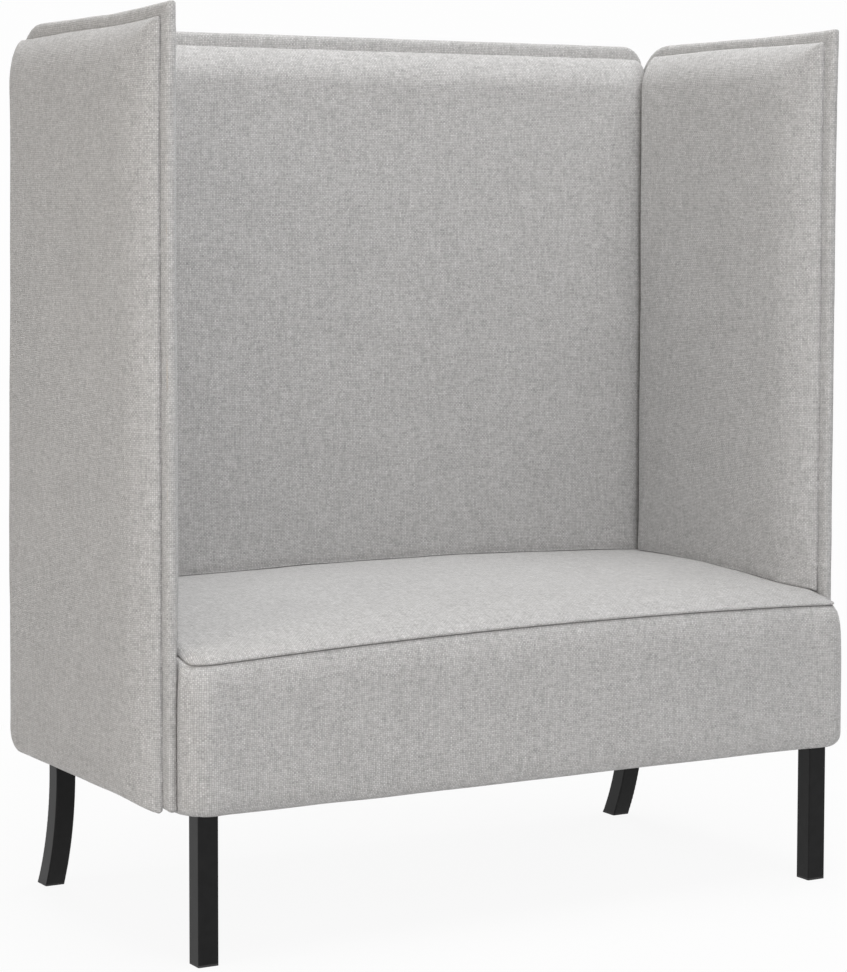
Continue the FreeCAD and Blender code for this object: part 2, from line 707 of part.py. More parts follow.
def make_side_rail(seat_inside):
    """A side rail's lower edge is trimmed to lie inside the seat's cover."""
    rail = new_body("right_rail_blank")
    front_notch = f"({LEG_FRONT} + plate_side + hole_gap)"
    rear_notch = f"({LEG_REAR} - plate_side - hole_gap)"
    outline = [
        (RAIL_FRONT_IN, PLATE_TOP),
        (front_notch, PLATE_TOP),
        (front_notch, FRAME_FOOT),
        (rear_notch, FRAME_FOOT),
        (rear_notch, PLATE_TOP),
        (RAIL_REAR_IN, PLATE_TOP),
        (RAIL_REAR_IN, FRAME_TOP),
        (RAIL_FRONT_IN, FRAME_TOP),
    ]
    pad(rail, "YZ", RAIL_IN, "rail_thick", [outline])
    cut(rail, "YZ", RAIL_IN, "rail_thick", circles=[(side_bolt_spots(), "bolt + 2 * hole_gap")])
    both_sides(combine("Common", "right_seat_rail", rail, seat_inside))


def make_stretcher():
    half = "(rail_thick / 2)"
    piece(new_box(
        "centre_stretcher",
        (f"-{half}", RAIL_FRONT_IN, FRAME_FOOT),
        (half, RAIL_REAR_IN, f"({FRAME_FOOT} + stretcher_high)"),
    ))


def make_corner_blocks():
    for name, y_low in (("front", RAIL_FRONT_IN), ("rear", f"({RAIL_REAR_IN} - block_side)")):
        block = new_body(f"{name}_right_corner_block")
        outline = rectangle(f"({RAIL_IN} - block_side)", y_low, RAIL_IN, f"({y_low} + block_side)")
        pad(block, "XY", PLATE_TOP, "block_high", [outline])
        spots = leg_screw_spots(leg_corners()[0 if name == "front" else 1])
        depth = "leg_screw_long - plate_thick + hole_gap"
        cut(block, "XY", PLATE_TOP, depth, circles=[(spots, "leg_screw + hole_gap")])
        both_sides(block)


# Springs


def spring_path(x_middle, front, rear, level):
    """One zigzag spring from rail to rail: straight runs joined by half turns of two quarter arcs."""
    bend = number("spring_bend")
    half_run = number("spring_half_run")
    turns = int((rear - front) // (2 * bend))
    start = (front + rear) / 2 - turns * bend
    edges = []
    side = 1
    for turn in range(turns + 1):
        y = start + 2 * bend * turn
        run = (Vector(x_middle - side * half_run, y, level), Vector(x_middle + side * half_run, y, level))
        edges.append(Part.LineSegment(*run).toShape())
        if turn == turns:
            break
        hub = Vector(x_middle + side * half_run, y + bend, level)
        diagonal = bend / math.sqrt(2)
        tip = hub + Vector(side * bend, 0, 0)
        near = hub + Vector(side * diagonal, -diagonal, 0)
        far = hub + Vector(side * diagonal, diagonal, 0)
        edges.append(Part.Arc(hub - Vector(0, bend, 0), near, tip).toShape())
        edges.append(Part.Arc(tip, far, hub + Vector(0, bend, 0)).toShape())
        side = -side
    return Part.Wire(edges)


def spring_ends():
    """Where the springs' end runs lie on the front and rear rails."""
    middle = f"({FRAME_FRONT} + {FRAME_REAR}) / 2"
    span = number(f"{FRAME_REAR} - {FRAME_FRONT} - rail_thick")
    turns = int(span // (2 * number("spring_bend")))
    half = f"{turns} * spring_bend"
    return f"({middle} - {half})", f"({middle} + {half})"


def spring_middles():
    count = int(number("spring_count"))
    return [f"({2 * index - count + 1} / 2 * spring_pitch)" for index in range(count)]


def make_springs():
    """The zigzag springs; no feature draws their paths, so their shape is swept here."""
    front, rear = (number(text) for text in spring_ends())
    level = number(SPRING_LEVEL)
    radius = number("spring_wire / 2")
    solids = []
    for middle in spring_middles():
        path = spring_path(number(middle), front, rear, level)
        start = path.Vertexes[0].Point
        ring = Part.Wire([Part.Circle(start, Vector(1, 0, 0), radius).toShape()])
        solids.append(path.makePipeShell([ring], True, False))
    springs = doc.addObject("Part::Feature", "seat_springs")
    springs.Shape = Part.makeCompound(solids)
    piece(springs)


def make_spring_clips():
    """Sheet steel clips, open towards the spring, that hold its end runs on the rails."""
    clips = new_body("spring_clips")
    floor_top = f"({FRAME_TOP} + clip_sheet)"
    roof = f"({floor_top} + spring_wire + 2 * clip_slack)"
    roof_top = f"({roof} + clip_sheet)"
    for end, way in zip(spring_ends(), (-1, 1)):
        back = f"({end} + ({way}) * (clip_deep / 2))"
        wall = f"({back} - ({way}) * clip_sheet)"
        lip = f"({back} - ({way}) * clip_deep)"
        outline = [
            (back, FRAME_TOP),
            (back, roof_top),
            (lip, roof_top),
            (lip, roof),
            (wall, roof),
            (wall, floor_top),
            (lip, floor_top),
            (lip, FRAME_TOP),
        ]
        for middle in spring_middles():
            pad(clips, "YZ", f"{middle} - clip_wide / 2", "clip_wide", [outline])
    piece(clips)


# Legs


def leg_screw_spots(corner):
    x_corner, x_way, y_corner, y_way = corner
    steps = (("leg_screw_far", "leg_screw_near"), ("leg_screw_far", "leg_screw_far"))
    steps += (("leg_screw_near", "leg_screw_far"),)
    spots = []
    for x_step, y_step in steps:
        spots.append((f"{x_corner} + ({x_way}) * {x_step}", f"{y_corner} + ({y_way}) * {y_step}"))
    return spots


def tube_loops(corner):
    return [tube_outline(corner), square_at(corner, "tube_wall", "tube_side - tube_wall")]


def add_plate(leg, corner):
    pad(leg, "XY", PLATE_FOOT, "plate_thick", [square_at(corner, "0", "plate_side")])
    holes = [(leg_screw_spots(corner), "leg_screw + hole_gap")]
    cut(leg, "XY", PLATE_FOOT, "plate_thick", circles=holes)


def make_front_leg():
    corner = leg_corners()[0]
    leg = new_body("front_right_leg")
    pad(leg, "XY", "glide_thick", f"{PLATE_FOOT} - glide_thick", tube_loops(corner))
    add_plate(leg, corner)
    both_sides(leg)


def sweep_back(body, loops):
    """Sweeps a section at the bend's top down and back about a level axis behind it."""
    sketch = new_drawing(body, "XY", "leg_bend_top", loops, ())
    axis_level = f"{LEG_REAR} - tube_side / 2 + leg_bend_radius"
    y = number(axis_level)
    half = number("tube_side")
    axis = sketch.addGeometry(Part.LineSegment(Vector(-half, y), Vector(half, y)), True)
    sketch.addConstraint(Sketcher.Constraint("Horizontal", axis))
    place_point(sketch, axis, 1, "-tube_side", axis_level)
    index = sketch.addConstraint(Sketcher.Constraint("DistanceX", -1, 1, axis, 2, half))
    bind(sketch, f"Constraints[{index}]", "tube_side")
    turn = body.newObject("PartDesign::Revolution", f"{body.Name}_sweep")
    turn.Profile = sketch
    turn.ReferenceAxis = (sketch, ["Axis0"])
    inner_edge = "(leg_bend_radius - tube_side / 2)"
    bind(turn, "Angle", f"asin(leg_bend_top / {inner_edge}) * {SWEEP_PAST}")
    body.Tip = turn
    doc.recompute()
    if body.Shape.BoundBox.ZMin > 0:
        turn.Reversed = True
        doc.recompute()


def make_rear_leg():
    corner = leg_corners()[1]
    leg = new_body("rear_right_leg")
    sweep_back(leg, tube_loops(corner))
    pad(leg, "XY", "leg_bend_top", f"{PLATE_FOOT} - leg_bend_top", tube_loops(corner))
    everything = rectangle("0", FRONT, f"2 * {CORE_OUT}", f"-2 * {FRONT}")
    cut(leg, "XY", f"glide_thick - {REACH}", REACH, [everything])
    add_plate(leg, corner)
    both_sides(leg)


def make_front_glide():
    corner = leg_corners()[0]
    glide = new_body("front_right_glide")
    pad(glide, "XY", "0", "glide_thick", [tube_outline(corner)])
    inset = "tube_wall + plug_gap"
    pad(glide, "XY", "glide_thick", "glide_plug", [square_at(corner, inset, f"tube_side - ({inset})")])
    both_sides(glide)


def make_rear_glide():
    """The rear glide follows the leg's sweep, cut level at the floor."""
    corner = leg_corners()[1]
    foot_sweep = new_body("rear_glide_foot_sweep")
    sweep_back(foot_sweep, [tube_outline(corner)])
    plug_sweep = new_body("rear_glide_plug_sweep")
    inset = "tube_wall + plug_gap"
    sweep_back(plug_sweep, [square_at(corner, inset, f"tube_side - ({inset})")])
    span = (f"2 * {CORE_OUT}", f"(-2 * {FRONT})")
    foot_slab = new_box("rear_glide_foot_slab", ("0", FRONT, "0"), (*span, "glide_thick"))
    plug_top = "(glide_thick + glide_plug)"
    plug_slab = new_box("rear_glide_plug_slab", ("0", FRONT, "glide_thick"), (*span, plug_top))
    foot = combine("Common", "rear_glide_foot", foot_sweep, foot_slab)
    plug = combine("Common", "rear_glide_plug", plug_sweep, plug_slab)
    both_sides(combine("Fuse", "rear_right_glide", foot, plug))


# Fasteners


def make_leg_screws():
    screws = new_body("leg_screws")
    spots = []
    for corner in leg_corners():
        spots += leg_screw_spots(corner)
    head_foot = f"{PLATE_FOOT} - leg_screw_head_high"
    pad(screws, "XY", head_foot, "leg_screw_head_high", circles=[(spots, "leg_screw_head")])
    pad(screws, "XY", PLATE_FOOT, "leg_screw_long", circles=[(spots, "leg_screw")])
    piece(screws)


def add_studs(body, x_low, x_high, y_low, y_high, diameter):
    """Round pieces on the panel bolts' axes: between X places at the sides, Y places at the back."""
    for sign in (1, -1):
        start = along_x(x_low, x_high, sign)
        pad(body, "YZ", start, f"{x_high} - ({x_low})", circles=[(side_bolt_spots(), diameter)])
    pad(body, "XZ", y_low, f"{y_high} - ({y_low})", circles=[(back_bolt_spots(), diameter)])


def cut_studs(body, x_low, x_high, y_low, y_high, diameter):
    for sign in (1, -1):
        start = along_x(x_low, x_high, sign)
        cut(body, "YZ", start, f"{x_high} - ({x_low})", circles=[(side_bolt_spots(), diameter)])
    cut(body, "XZ", y_low, f"{y_high} - ({y_low})", circles=[(back_bolt_spots(), diameter)])


def make_panel_bolts():
    x_washer = f"({RAIL_IN} - washer_thick)"
    y_washer = f"({RAIL_REAR_IN} - washer_thick)"
    bolts = new_body("panel_bolts")
    x_head = f"({x_washer} - bolt_head_high)"
    y_head = f"({y_washer} - bolt_head_high)"
    add_studs(bolts, x_head, x_washer, y_head, y_washer, "bolt_head")
    add_studs(bolts, x_washer, CORE_OUT, y_washer, BACK_OUT, "bolt")
    piece(bolts)
    washers = new_body("panel_washers")
    add_studs(washers, x_washer, RAIL_IN, y_washer, RAIL_REAR_IN, "washer_wide")
    cut_studs(washers, x_washer, RAIL_IN, y_washer, RAIL_REAR_IN, "bolt + 2 * hole_gap")
    piece(washers)


def make_tee_nuts():
    nuts = new_body("panel_tee_nuts")
    x_flange = f"({CORE_OUT} - nut_flange_thick)"
    y_flange = f"({BACK_OUT} - nut_flange_thick)"
    x_low = f"({CORE_OUT} - nut_long)"
    y_low = f"({BACK_OUT} - nut_long)"
    add_studs(nuts, x_low, x_flange, y_low, y_flange, "nut_barrel")
    add_studs(nuts, x_flange, CORE_OUT, y_flange, BACK_OUT, "nut_flange")
    cut_studs(nuts, x_low, CORE_OUT, y_low, BACK_OUT, "bolt + hole_gap")
    piece(nuts)


def make_joint_screws():
    screws = new_body("board_joint_screws")
    tip = f"({CORE_OUT} - joint_screw_long)"
    neck = f"({CORE_OUT} - joint_screw_head_high)"
    for sign in (1, -1):
        start = along_x(tip, neck, sign)
        pad(screws, "YZ", start, f"{neck} - {tip}", circles=[(joint_screw_spots(), "joint_screw")])
        start = along_x(neck, CORE_OUT, sign)
        pad(screws, "YZ", start, "joint_screw_head_high", circles=[(joint_screw_spots(), "joint_screw_head")])
    piece(screws)


def build():
    make_side_board()
    make_side_wrap()
    make_back_board()
    make_back_wrap()
    seat_inside, seat_room = make_seat_upholstery()
    make_side_pads(seat_room)
    make_back_pads(seat_room)
    make_spring_felt(seat_inside)
    make_dust_cover()
    make_front_rail(seat_inside)
    make_rear_rail()
    make_side_rail(seat_inside)
    make_stretcher()
    make_corner_blocks()
    make_springs()
    make_spring_clips()
    make_front_leg()
    make_rear_leg()
    make_front_glide()
    make_rear_glide()
    make_leg_screws()
    make_panel_bolts()
    make_tee_nuts()
    make_joint_screws()
    doc.recompute()


def check():
    for item in doc.Objects:
        if "Invalid" in item.State or "Error" in item.State:
            raise ValueError(f"{item.Label} failed: {item.State}")
    for item in pieces:
        if item.Shape.isNull() or not item.Shape.isValid() or not item.Shape.Solids:
            raise ValueError(f"{item.Label} has no valid solid")


def write():
    os.makedirs("parts", exist_ok=True)
    for item in pieces:
        item.Shape.exportStep(os.path.join("parts", f"{item.Label}.step"))
        print(f"{item.Label}: {len(item.Shape.Solids)} solids, {item.Shape.Volume / 1000:.1f} cm3")


build()
check()
write()
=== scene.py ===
"""Looks of the high-back sofa: woven covers, black legs, dust cover, and the floor, light and camera.

Metres, in the frame's axes: X to the right as seen from the front, Y from the front to the back, Z up.
"""
import json
import math
from functools import partial

import bmesh
import bpy
import numpy as np
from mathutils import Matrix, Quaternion, Vector, noise


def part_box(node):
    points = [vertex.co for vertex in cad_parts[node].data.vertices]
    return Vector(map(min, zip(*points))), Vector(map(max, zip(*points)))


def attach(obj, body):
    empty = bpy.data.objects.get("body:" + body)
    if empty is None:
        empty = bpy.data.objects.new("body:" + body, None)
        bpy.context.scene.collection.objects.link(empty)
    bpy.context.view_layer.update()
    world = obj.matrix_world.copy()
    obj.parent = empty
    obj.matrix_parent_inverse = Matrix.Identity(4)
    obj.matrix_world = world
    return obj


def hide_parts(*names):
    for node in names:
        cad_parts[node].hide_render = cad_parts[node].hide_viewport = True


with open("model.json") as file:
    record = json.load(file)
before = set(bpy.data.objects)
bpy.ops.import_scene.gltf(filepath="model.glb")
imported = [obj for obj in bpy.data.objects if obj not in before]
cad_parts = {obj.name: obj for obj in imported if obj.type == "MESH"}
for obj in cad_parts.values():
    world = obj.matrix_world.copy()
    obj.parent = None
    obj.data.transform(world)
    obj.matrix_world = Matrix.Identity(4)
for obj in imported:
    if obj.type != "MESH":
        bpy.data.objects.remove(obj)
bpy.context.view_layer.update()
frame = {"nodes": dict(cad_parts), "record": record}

SIDES = (("right", 1), ("left", -1))
PANEL_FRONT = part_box("right_edge_wrap")[0].y

# Meshes
CELL = 0.010
CORNER_CELLS = 4
EDGE_RINGS = 15
BACKING_GAP = 0.0002

# Cushions on the panels
FRONT_SHOULDERS = {"right": 0.072, "left": 0.092}
OUTER_FRONT_SHOULDER = 0.060
SHOULDER = 0.054
REAR_SHOULDER = 0.040
TUCKED_SHOULDER = 0.011
FOOT_SHOULDER = 0.0005
OUTER_FOOT_SHOULDER = 0.018
BACK_END_SHOULDER = 0.030
EDGE_FULLNESS = 0.55
EDGE_GROOVE = 0.0022
EDGE_LIP = 0.0032
CREASE = math.radians(60)
SHARP_CORNER = 0.004
SOFT_CORNER = 0.040
BACK_TOP_CORNER = 0.022
REAR_TOP_CORNER = 0.028
REAR_FOOT_CORNER = 0.030
CORNER_EASE = 1.2
PAD_REACH = 0.005
FRONT_REACHES = {"right": 0.006, "left": 0.0}
BACK_REACH = 0.0025
FOOT_REACH = 0.007
CROWN = 0.002
FOOT_FADE = 0.16
SEAT_CONTACT = 0.0003
REAR_TAPER = 0.006
DEPTH_TAPER = 0.07
TAPER_HEIGHTS = (0.45, 1.15)
TAPER_DEPTHS = (0.08, 0.26)
REAR_DROOP = 0.003
DROOP_DEPTHS = (0, 0.23)
TOP_BOW = 0.004

# Wrapped edges of the panels
FABRIC = 0.0015
WRAP_REACH = 0.033
WRAP_ROUND = 0.009
WRAP_BULGE = 0.002
WRAP_FULLNESS = 2.6
WRAP_RINGS = 7
LIFT_FADE = 0.03
FLANGE_BACK_CORNER = 0.036
FLANGE_REAR_TOP = 0.080
FLANGE_REAR_FOOT = 0.050
EAR_START = -0.04
EAR_FADE = 0.20
EAR_FLARE = 0.6
EAR_LIMIT = 1.1
EARS = {"right": 0.0045, "left": 0.0075}
FOOT_EAR = 0.005

# Seat: its outline and lower edge
SEAT_CORNERS = {"right": 0.020, "left": 0.042}
SEAT_REAR_CORNER = 0.004
FOOT_ROUND_IN = 0.0115
FOOT_ROUND_UP = 0.019
SIDE_FOOT_ROUND = 0.003
FOOT_ROWS = 9
LIP_LONG = 0.025
LIP_AT_LEG = 0.0117
LEG_ROOM = (0.045, 0.065)

# Seat: its border and seam
AHEAD_FADE = (PANEL_FRONT - 0.012, PANEL_FRONT + 0.006)
CORNER_START = 0.07
CORNER_FULL = 0.01
BORDER_BULGE = 0.0022
CORNER_BULGE = 0.0085
BULGE_POWER = 6
BORDER_ROWS = 22
SEAM_END = 0.409
SEAM_TILT = 0.006
SEAM_CROWN = 0.0115
SEAM_SIDE_RISE = 0.009
SEAM_RISE_START = 0.6
SEAM_RISE_END = PANEL_FRONT + 0.012
SEAM_DRAW = 0.0075
CORNER_DRAWS = {"right": -0.0048, "left": 0.0030}
DRAW_START = 0.80
DRAW_LONG = 0.20
SEAM_DEEP = 0.003
SEAM_OPEN = 0.0002
TOP_LIP = ((0.0020, 0.0012), (-0.0006, 0.0018), (-0.0016, 0.0034), (-0.0006, 0.0052))

# Seat: its top
CROWN_END = 0.449
CROWN_MIDDLE = 0.463
RISE_EDGE = 0.42
RISE_EDGE_LONG = 0.04
RISE_BODY = 0.58
RISE_BODY_LONG = 0.66
RISE_FALL = 0.07
RISE_FALL_LONG = 0.34
END_ROUND = 0.045
TOP_AHEAD_FADE = (PANEL_FRONT - 0.012, PANEL_FRONT + 0.03)
HILLS_FADE = (0.004, 0.02)
TOP_INSETS = (0.011, 0.016, 0.023, 0.032, 0.043, 0.056)
TOP_CORNER_GROWTH = 0.2

# Dust cover under the seat
DUST_SAG = 0.003
DUST_CELL = 0.022
DUST_FULLNESS = 0.7
DUST_PUCKER = 0.0012
DUST_PUCKERS = 16
LEG_GAP = 0.002
STAPLE_PITCH = 0.058
STAPLE_LONG = 0.010
STAPLE_WIRE = 0.0006
STAPLE_GAP = 0.0001
STAPLE_DROP = 2.0 * STAPLE_WIRE
STAPLE_BEND = 0.6
STAPLE_FLAT = 0.9
STAPLE_INSIDE = 0.6

# Unevenness: the height of the hills, how far apart they are, and their seed
PAD_DRIFT_ACROSS = (0.0006, 0.07, 0.2)
PAD_DRIFT_UP = (0.0006, 0.07, 0.4)
PAD_HILLS = (0.0009, 0.16, 0.0)
PAD_DIMPLES = (0.0004, 0.055, 0.6)
FLANGE_RIPPLE = (0.0005, 0.09, 0.0)
FLANGE_PUCKER = (0.0003, 0.03, 0.5)
FLANGE_LIFT = (0.0012, 0.14, 0.8)
BORDER_SAG = (0.0011, 0.11, 3.3)
SEAT_HILLS = (0.0014, 0.19, 6.1)
SEAT_DIMPLES = (0.0005, 0.06, 6.6)
SEED_STEPS = (7.3, 3.1, 5.7)
PIECE_SEEDS = {
    "right_inner": 10,
    "right_outer": 11,
    "left_inner": 20,
    "left_outer": 21,
    "back_inner": 31,
    "back_outer": 32,
    "right_flange": 40,
    "left_flange": 41,
    "back_flange": 44,
}

# Swelling of the covers as cloth
CLOTH_FRAMES = 20
CLOTH_SETTINGS = {
    "quality": 4,
    "tension_stiffness": 40,
    "compression_stiffness": 40,
    "shear_stiffness": 20,
    "bending_stiffness": 2,
    "use_pressure": True,
    "uniform_pressure_force": 4.0,
}
PAD_SWELL = 0.0012
SEAT_SWELL = 0.0012
SWELL_LEAST = 1e-9
HELD_MARGIN = 0.01
HELD_FOOT_ROWS = 3
HELD_BELOW_SEAM = 3
HELD_ABOVE_SEAM = 4

# Woven fabric
YARN = 0.0027
YARN_DRIFT = 0.0034
YARN_APART = 7.31
WARP_APART = 41.7
SLUB_RUN = 0.11
DARK_YARN = (0.24, (0.300, 0.297, 0.293))
LIGHT_YARN = (0.78, (0.810, 0.804, 0.796))

# Light, floor and camera
LAMPS = (
    ("front_light", (-0.8, -4.2, 3.4), (3.6, 2.6), 86, (0.99, 0.98, 1.0)),
    ("front_left_light", (-2.8, -3.6, 2.0), (2.4, 2.4), 28, (1.0, 0.97, 0.92)),
    ("top_light", (0.2, -0.5, 4.2), (3.2, 3.2), 136, (1, 1, 1)),
    ("left_light", (-4.4, -0.8, 1.9), (2.6, 2.6), 56, (1.0, 0.94, 0.88)),
    ("rear_light", (0.8, 4.6, 2.2), (2.6, 2.6), 100, (1, 1, 1)),
    ("right_light", (4.4, 1.6, 1.8), (2.6, 2.6), 60, (1, 1, 1)),
)
LAMP_TARGET = Vector((0, 0, 0.7))
WORLD_LIGHT = 0.04
WHITE = 0.985
FLOOR_HALF = 30.0
FLOOR_COLOUR = (0.82, 0.82, 0.82, 1)
FLOOR_FADE = (0.5, 1.5)
FLOOR_WHITE_NEAR = 0.93
FLOOR_WHITE_GAIN = 0.07
SENSOR = 36.0
LENS = 106.605
PHOTO_HIGH = 972
SHIFT_PIXELS = -80
CLIP = (0.1, 200)
CAMERA_PLACE = (-2.1416, -3.6955, 1.0180)
CAMERA_TARGET = Vector((-0.0171, 0, 0.71593))
CAMERA_ROLL = 0.12


# Meshes from rings


def line(start, end, cells):
    """Points along a straight stretch, without the last one."""
    share = np.arange(cells)[:, None] / cells
    return (1 - share) * np.array(start) + share * np.array(end)


def arc(centre, radius, first, last, cells):
    """Points along an arc, without the last one; the angles are in quarter turns."""
    angle = math.pi / 2 * np.linspace(first, last, cells, endpoint=False)
    return np.array(centre) + radius * np.column_stack((np.cos(angle), np.sin(angle)))


def ring_of(box, radii, cells):
    """Points round a rectangle with rounded corners, from the middle of its lower left corner."""
    low, foot, high, top = box
    across = cells[0] - 2 * CORNER_CELLS
    upward = cells[1] - 2 * CORNER_CELLS
    turn = 2 * CORNER_CELLS
    foot_left, foot_right, top_right, top_left = radii
    hub = (low + foot_left, foot + foot_left)
    return np.concatenate((
        arc(hub, foot_left, 2.5, 3, CORNER_CELLS),
        line((low + foot_left, foot), (high - foot_right, foot), across),
        arc((high - foot_right, foot + foot_right), foot_right, 3, 4, turn),
        line((high, foot + foot_right), (high, top - top_right), upward),
        arc((high - top_right, top - top_right), top_right, 0, 1, turn),
        line((high - top_right, top), (low + top_left, top), across),
        arc((low + top_left, top - top_left), top_left, 1, 2, turn),
        line((low, top - top_left), (low, foot + foot_left), upward),
        arc(hub, foot_left, 2, 2.5, CORNER_CELLS),
    ))


def fill_of(ring, cells):
    """A grid of points spread evenly inside a ring."""
    across, upward = cells
    closed = np.vstack((ring, ring[:1]))
    bottom = closed[:across + 1, None]
    right = closed[None, across:across + upward + 1]
    top = closed[across + upward:2 * across + upward + 1][::-1, None]
    left = closed[2 * across + upward:][::-1][None]
    u = np.linspace(0, 1, across + 1)[:, None, None]
    v = np.linspace(0, 1, upward + 1)[None, :, None]
    lower = (1 - u) * bottom[0] + u * bottom[-1]
    upper = (1 - u) * top[0] + u * top[-1]
    return (1 - v) * bottom + v * top + (1 - u) * left + u * right - (1 - v) * lower - v * upper


def fill_index(ring_start, inner_start, cells):
    """Which vertex lies at each place of a grid whose rim is a ring."""
    across, upward = cells
    size = 2 * (across + upward)
    index = np.zeros((across + 1, upward + 1), int)
    inner = np.arange((across - 1) * (upward - 1)).reshape(across - 1, upward - 1)
    index[1:-1, 1:-1] = inner_start + inner
    rim = ring_start + np.arange(size + 1) % size
    index[:, 0] = rim[:across + 1]
    index[across, :] = rim[across:across + upward + 1]
    index[:, upward] = rim[across + upward:2 * across + upward + 1][::-1]
    index[0, :] = rim[2 * across + upward:][::-1]
    return index


def grid_quads(index):
    """Quads between neighbours in a grid."""
    return np.stack((index[:-1, :-1], index[1:, :-1], index[1:, 1:], index[:-1, 1:]), -1).reshape(-1, 4)


def ring_quads(ring_starts, size):
    """Quads between rings that follow each other."""
    here = np.arange(size)
    following = (here + 1) % size
    quads = []
    for lower, upper in zip(ring_starts, ring_starts[1:]):
        quads.append(np.stack((lower + here, lower + following, upper + following, upper + here), -1))
    return np.concatenate(quads)


def ring_ways(ring):
    """The way out, square to the ring, at each of its points."""
    along = np.roll(ring, -1, 0) - np.roll(ring, 1, 0)
    out = np.column_stack((along[:, 1], -along[:, 0]))
    return out / np.linalg.norm(out, axis=1)[:, None]


def path_lengths(path):
    """Distance from the path's first point to each of its points."""
    steps = np.linalg.norm(np.diff(np.asarray(path), axis=0), axis=1)
    return np.concatenate(([0], np.cumsum(steps)))


def cells_for(width, height):
    """How many cells a piece has across and upwards."""
    return max(3 * CORNER_CELLS, round(width / CELL)), max(3 * CORNER_CELLS, round(height / CELL))


def smooth_step(value, start, end):
    """0 before start, 1 after end, and a smooth rise between them."""
    share = np.clip((value - start) / (end - start), 0, 1)
    return share * share * (3 - 2 * share)


def waves(points, uneven, seed=0):
    """Smooth hills and hollows at each point; uneven is (height, distance between hills, seed)."""
    height, apart, own_seed = uneven
    shift = Vector([(seed + own_seed) * step for step in SEED_STEPS])
    return height * np.array([noise.noise(Vector(point) / apart + shift) for point in points])


def new_mesh(name, points, quads, corner_uv):
    """A smooth mesh whose weave runs as its UV map says."""
    mesh = bpy.data.meshes.new(name)
    mesh.from_pydata(np.asarray(points).tolist(), [], np.asarray(quads).tolist())
    layer = mesh.uv_layers.new(name="weave")
    layer.data.foreach_set("uv", np.asarray(corner_uv, np.float32).ravel())
    mesh.polygons.foreach_set("use_smooth", [True] * len(mesh.polygons))
    return mesh


def face_outwards(mesh):
    """Turns a mesh's faces so that they look outwards."""
    shape = bmesh.new()
    shape.from_mesh(mesh)
    bmesh.ops.recalc_face_normals(shape, faces=shape.faces)
    shape.to_mesh(mesh)
    shape.free()


def new_piece(mesh, material, replaced):
    """Puts a mesh on the sofa under its own name, in place of CAD nodes."""
    piece = bpy.data.objects.new(mesh.name, mesh)
    bpy.context.scene.collection.objects.link(piece)
    mesh.materials.append(material)
    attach(piece, "root")
    if replaced:
        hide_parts(*replaced)
    return piece


def swell(points, quads, pinned, limit):
    """Lets a cover swell as cloth under pressure, held at the pinned vertices; returns its points."""
    mesh = bpy.data.meshes.new("swelling")
    mesh.from_pydata(points.tolist(), [], quads.tolist())
    face_outwards(mesh)
    cover = bpy.data.objects.new("swelling", mesh)
    scene = bpy.context.scene
    scene.collection.objects.link(cover)
    seam = cover.vertex_groups.new(name="seam")
    seam.add(pinned.tolist(), 1.0, "REPLACE")
    cloth = cover.modifiers.new("cloth", "CLOTH")
    cloth.settings.vertex_group_mass = seam.name
    for name, value in CLOTH_SETTINGS.items():
        setattr(cloth.settings, name, value)
    cloth.settings.effector_weights.gravity = 0
    cloth.collision_settings.use_collision = False
    cloth.point_cache.frame_start = 1
    cloth.point_cache.frame_end = CLOTH_FRAMES
    for step in range(1, CLOTH_FRAMES + 1):
        scene.frame_set(step)
    swollen = cover.evaluated_get(bpy.context.evaluated_depsgraph_get()).data
    result = np.zeros(len(points) * 3, np.float32)
    swollen.vertices.foreach_get("co", result)
    scene.frame_set(1)
    bpy.data.objects.remove(cover)
    bpy.data.meshes.remove(mesh)
    moved = result.reshape(-1, 3) - points
    length = np.maximum(np.linalg.norm(moved, axis=1), SWELL_LEAST)[:, None]
    return points + moved * limit * np.tanh(length / limit) / length


# Cushions on the panels


def cushion_rings(outline, radii, shoulders, drawn, cells):
    """A cushion's outlines from its back to its face, each drawn in further than the one before."""
    low, foot, high, top = outline
    at_low, at_foot, at_high, at_top = shoulders
    meeting = (at_low, at_foot), (at_foot, at_high), (at_high, at_top), (at_top, at_low)
    eases = [CORNER_EASE * min(pair) for pair in meeting]
    insets = np.outer(drawn, shoulders)
    insets[0] = EDGE_GROOVE
    insets[-1] += EDGE_GROOVE
    rings = []
    for share, inset in zip(drawn, insets):
        box = (low + inset[0], foot + inset[1], high - inset[2], top - inset[3])
        rounded = [math.hypot(radius, ease * share) for radius, ease in zip(radii, eases)]
        rings.append(ring_of(box, rounded, cells))
    return rings


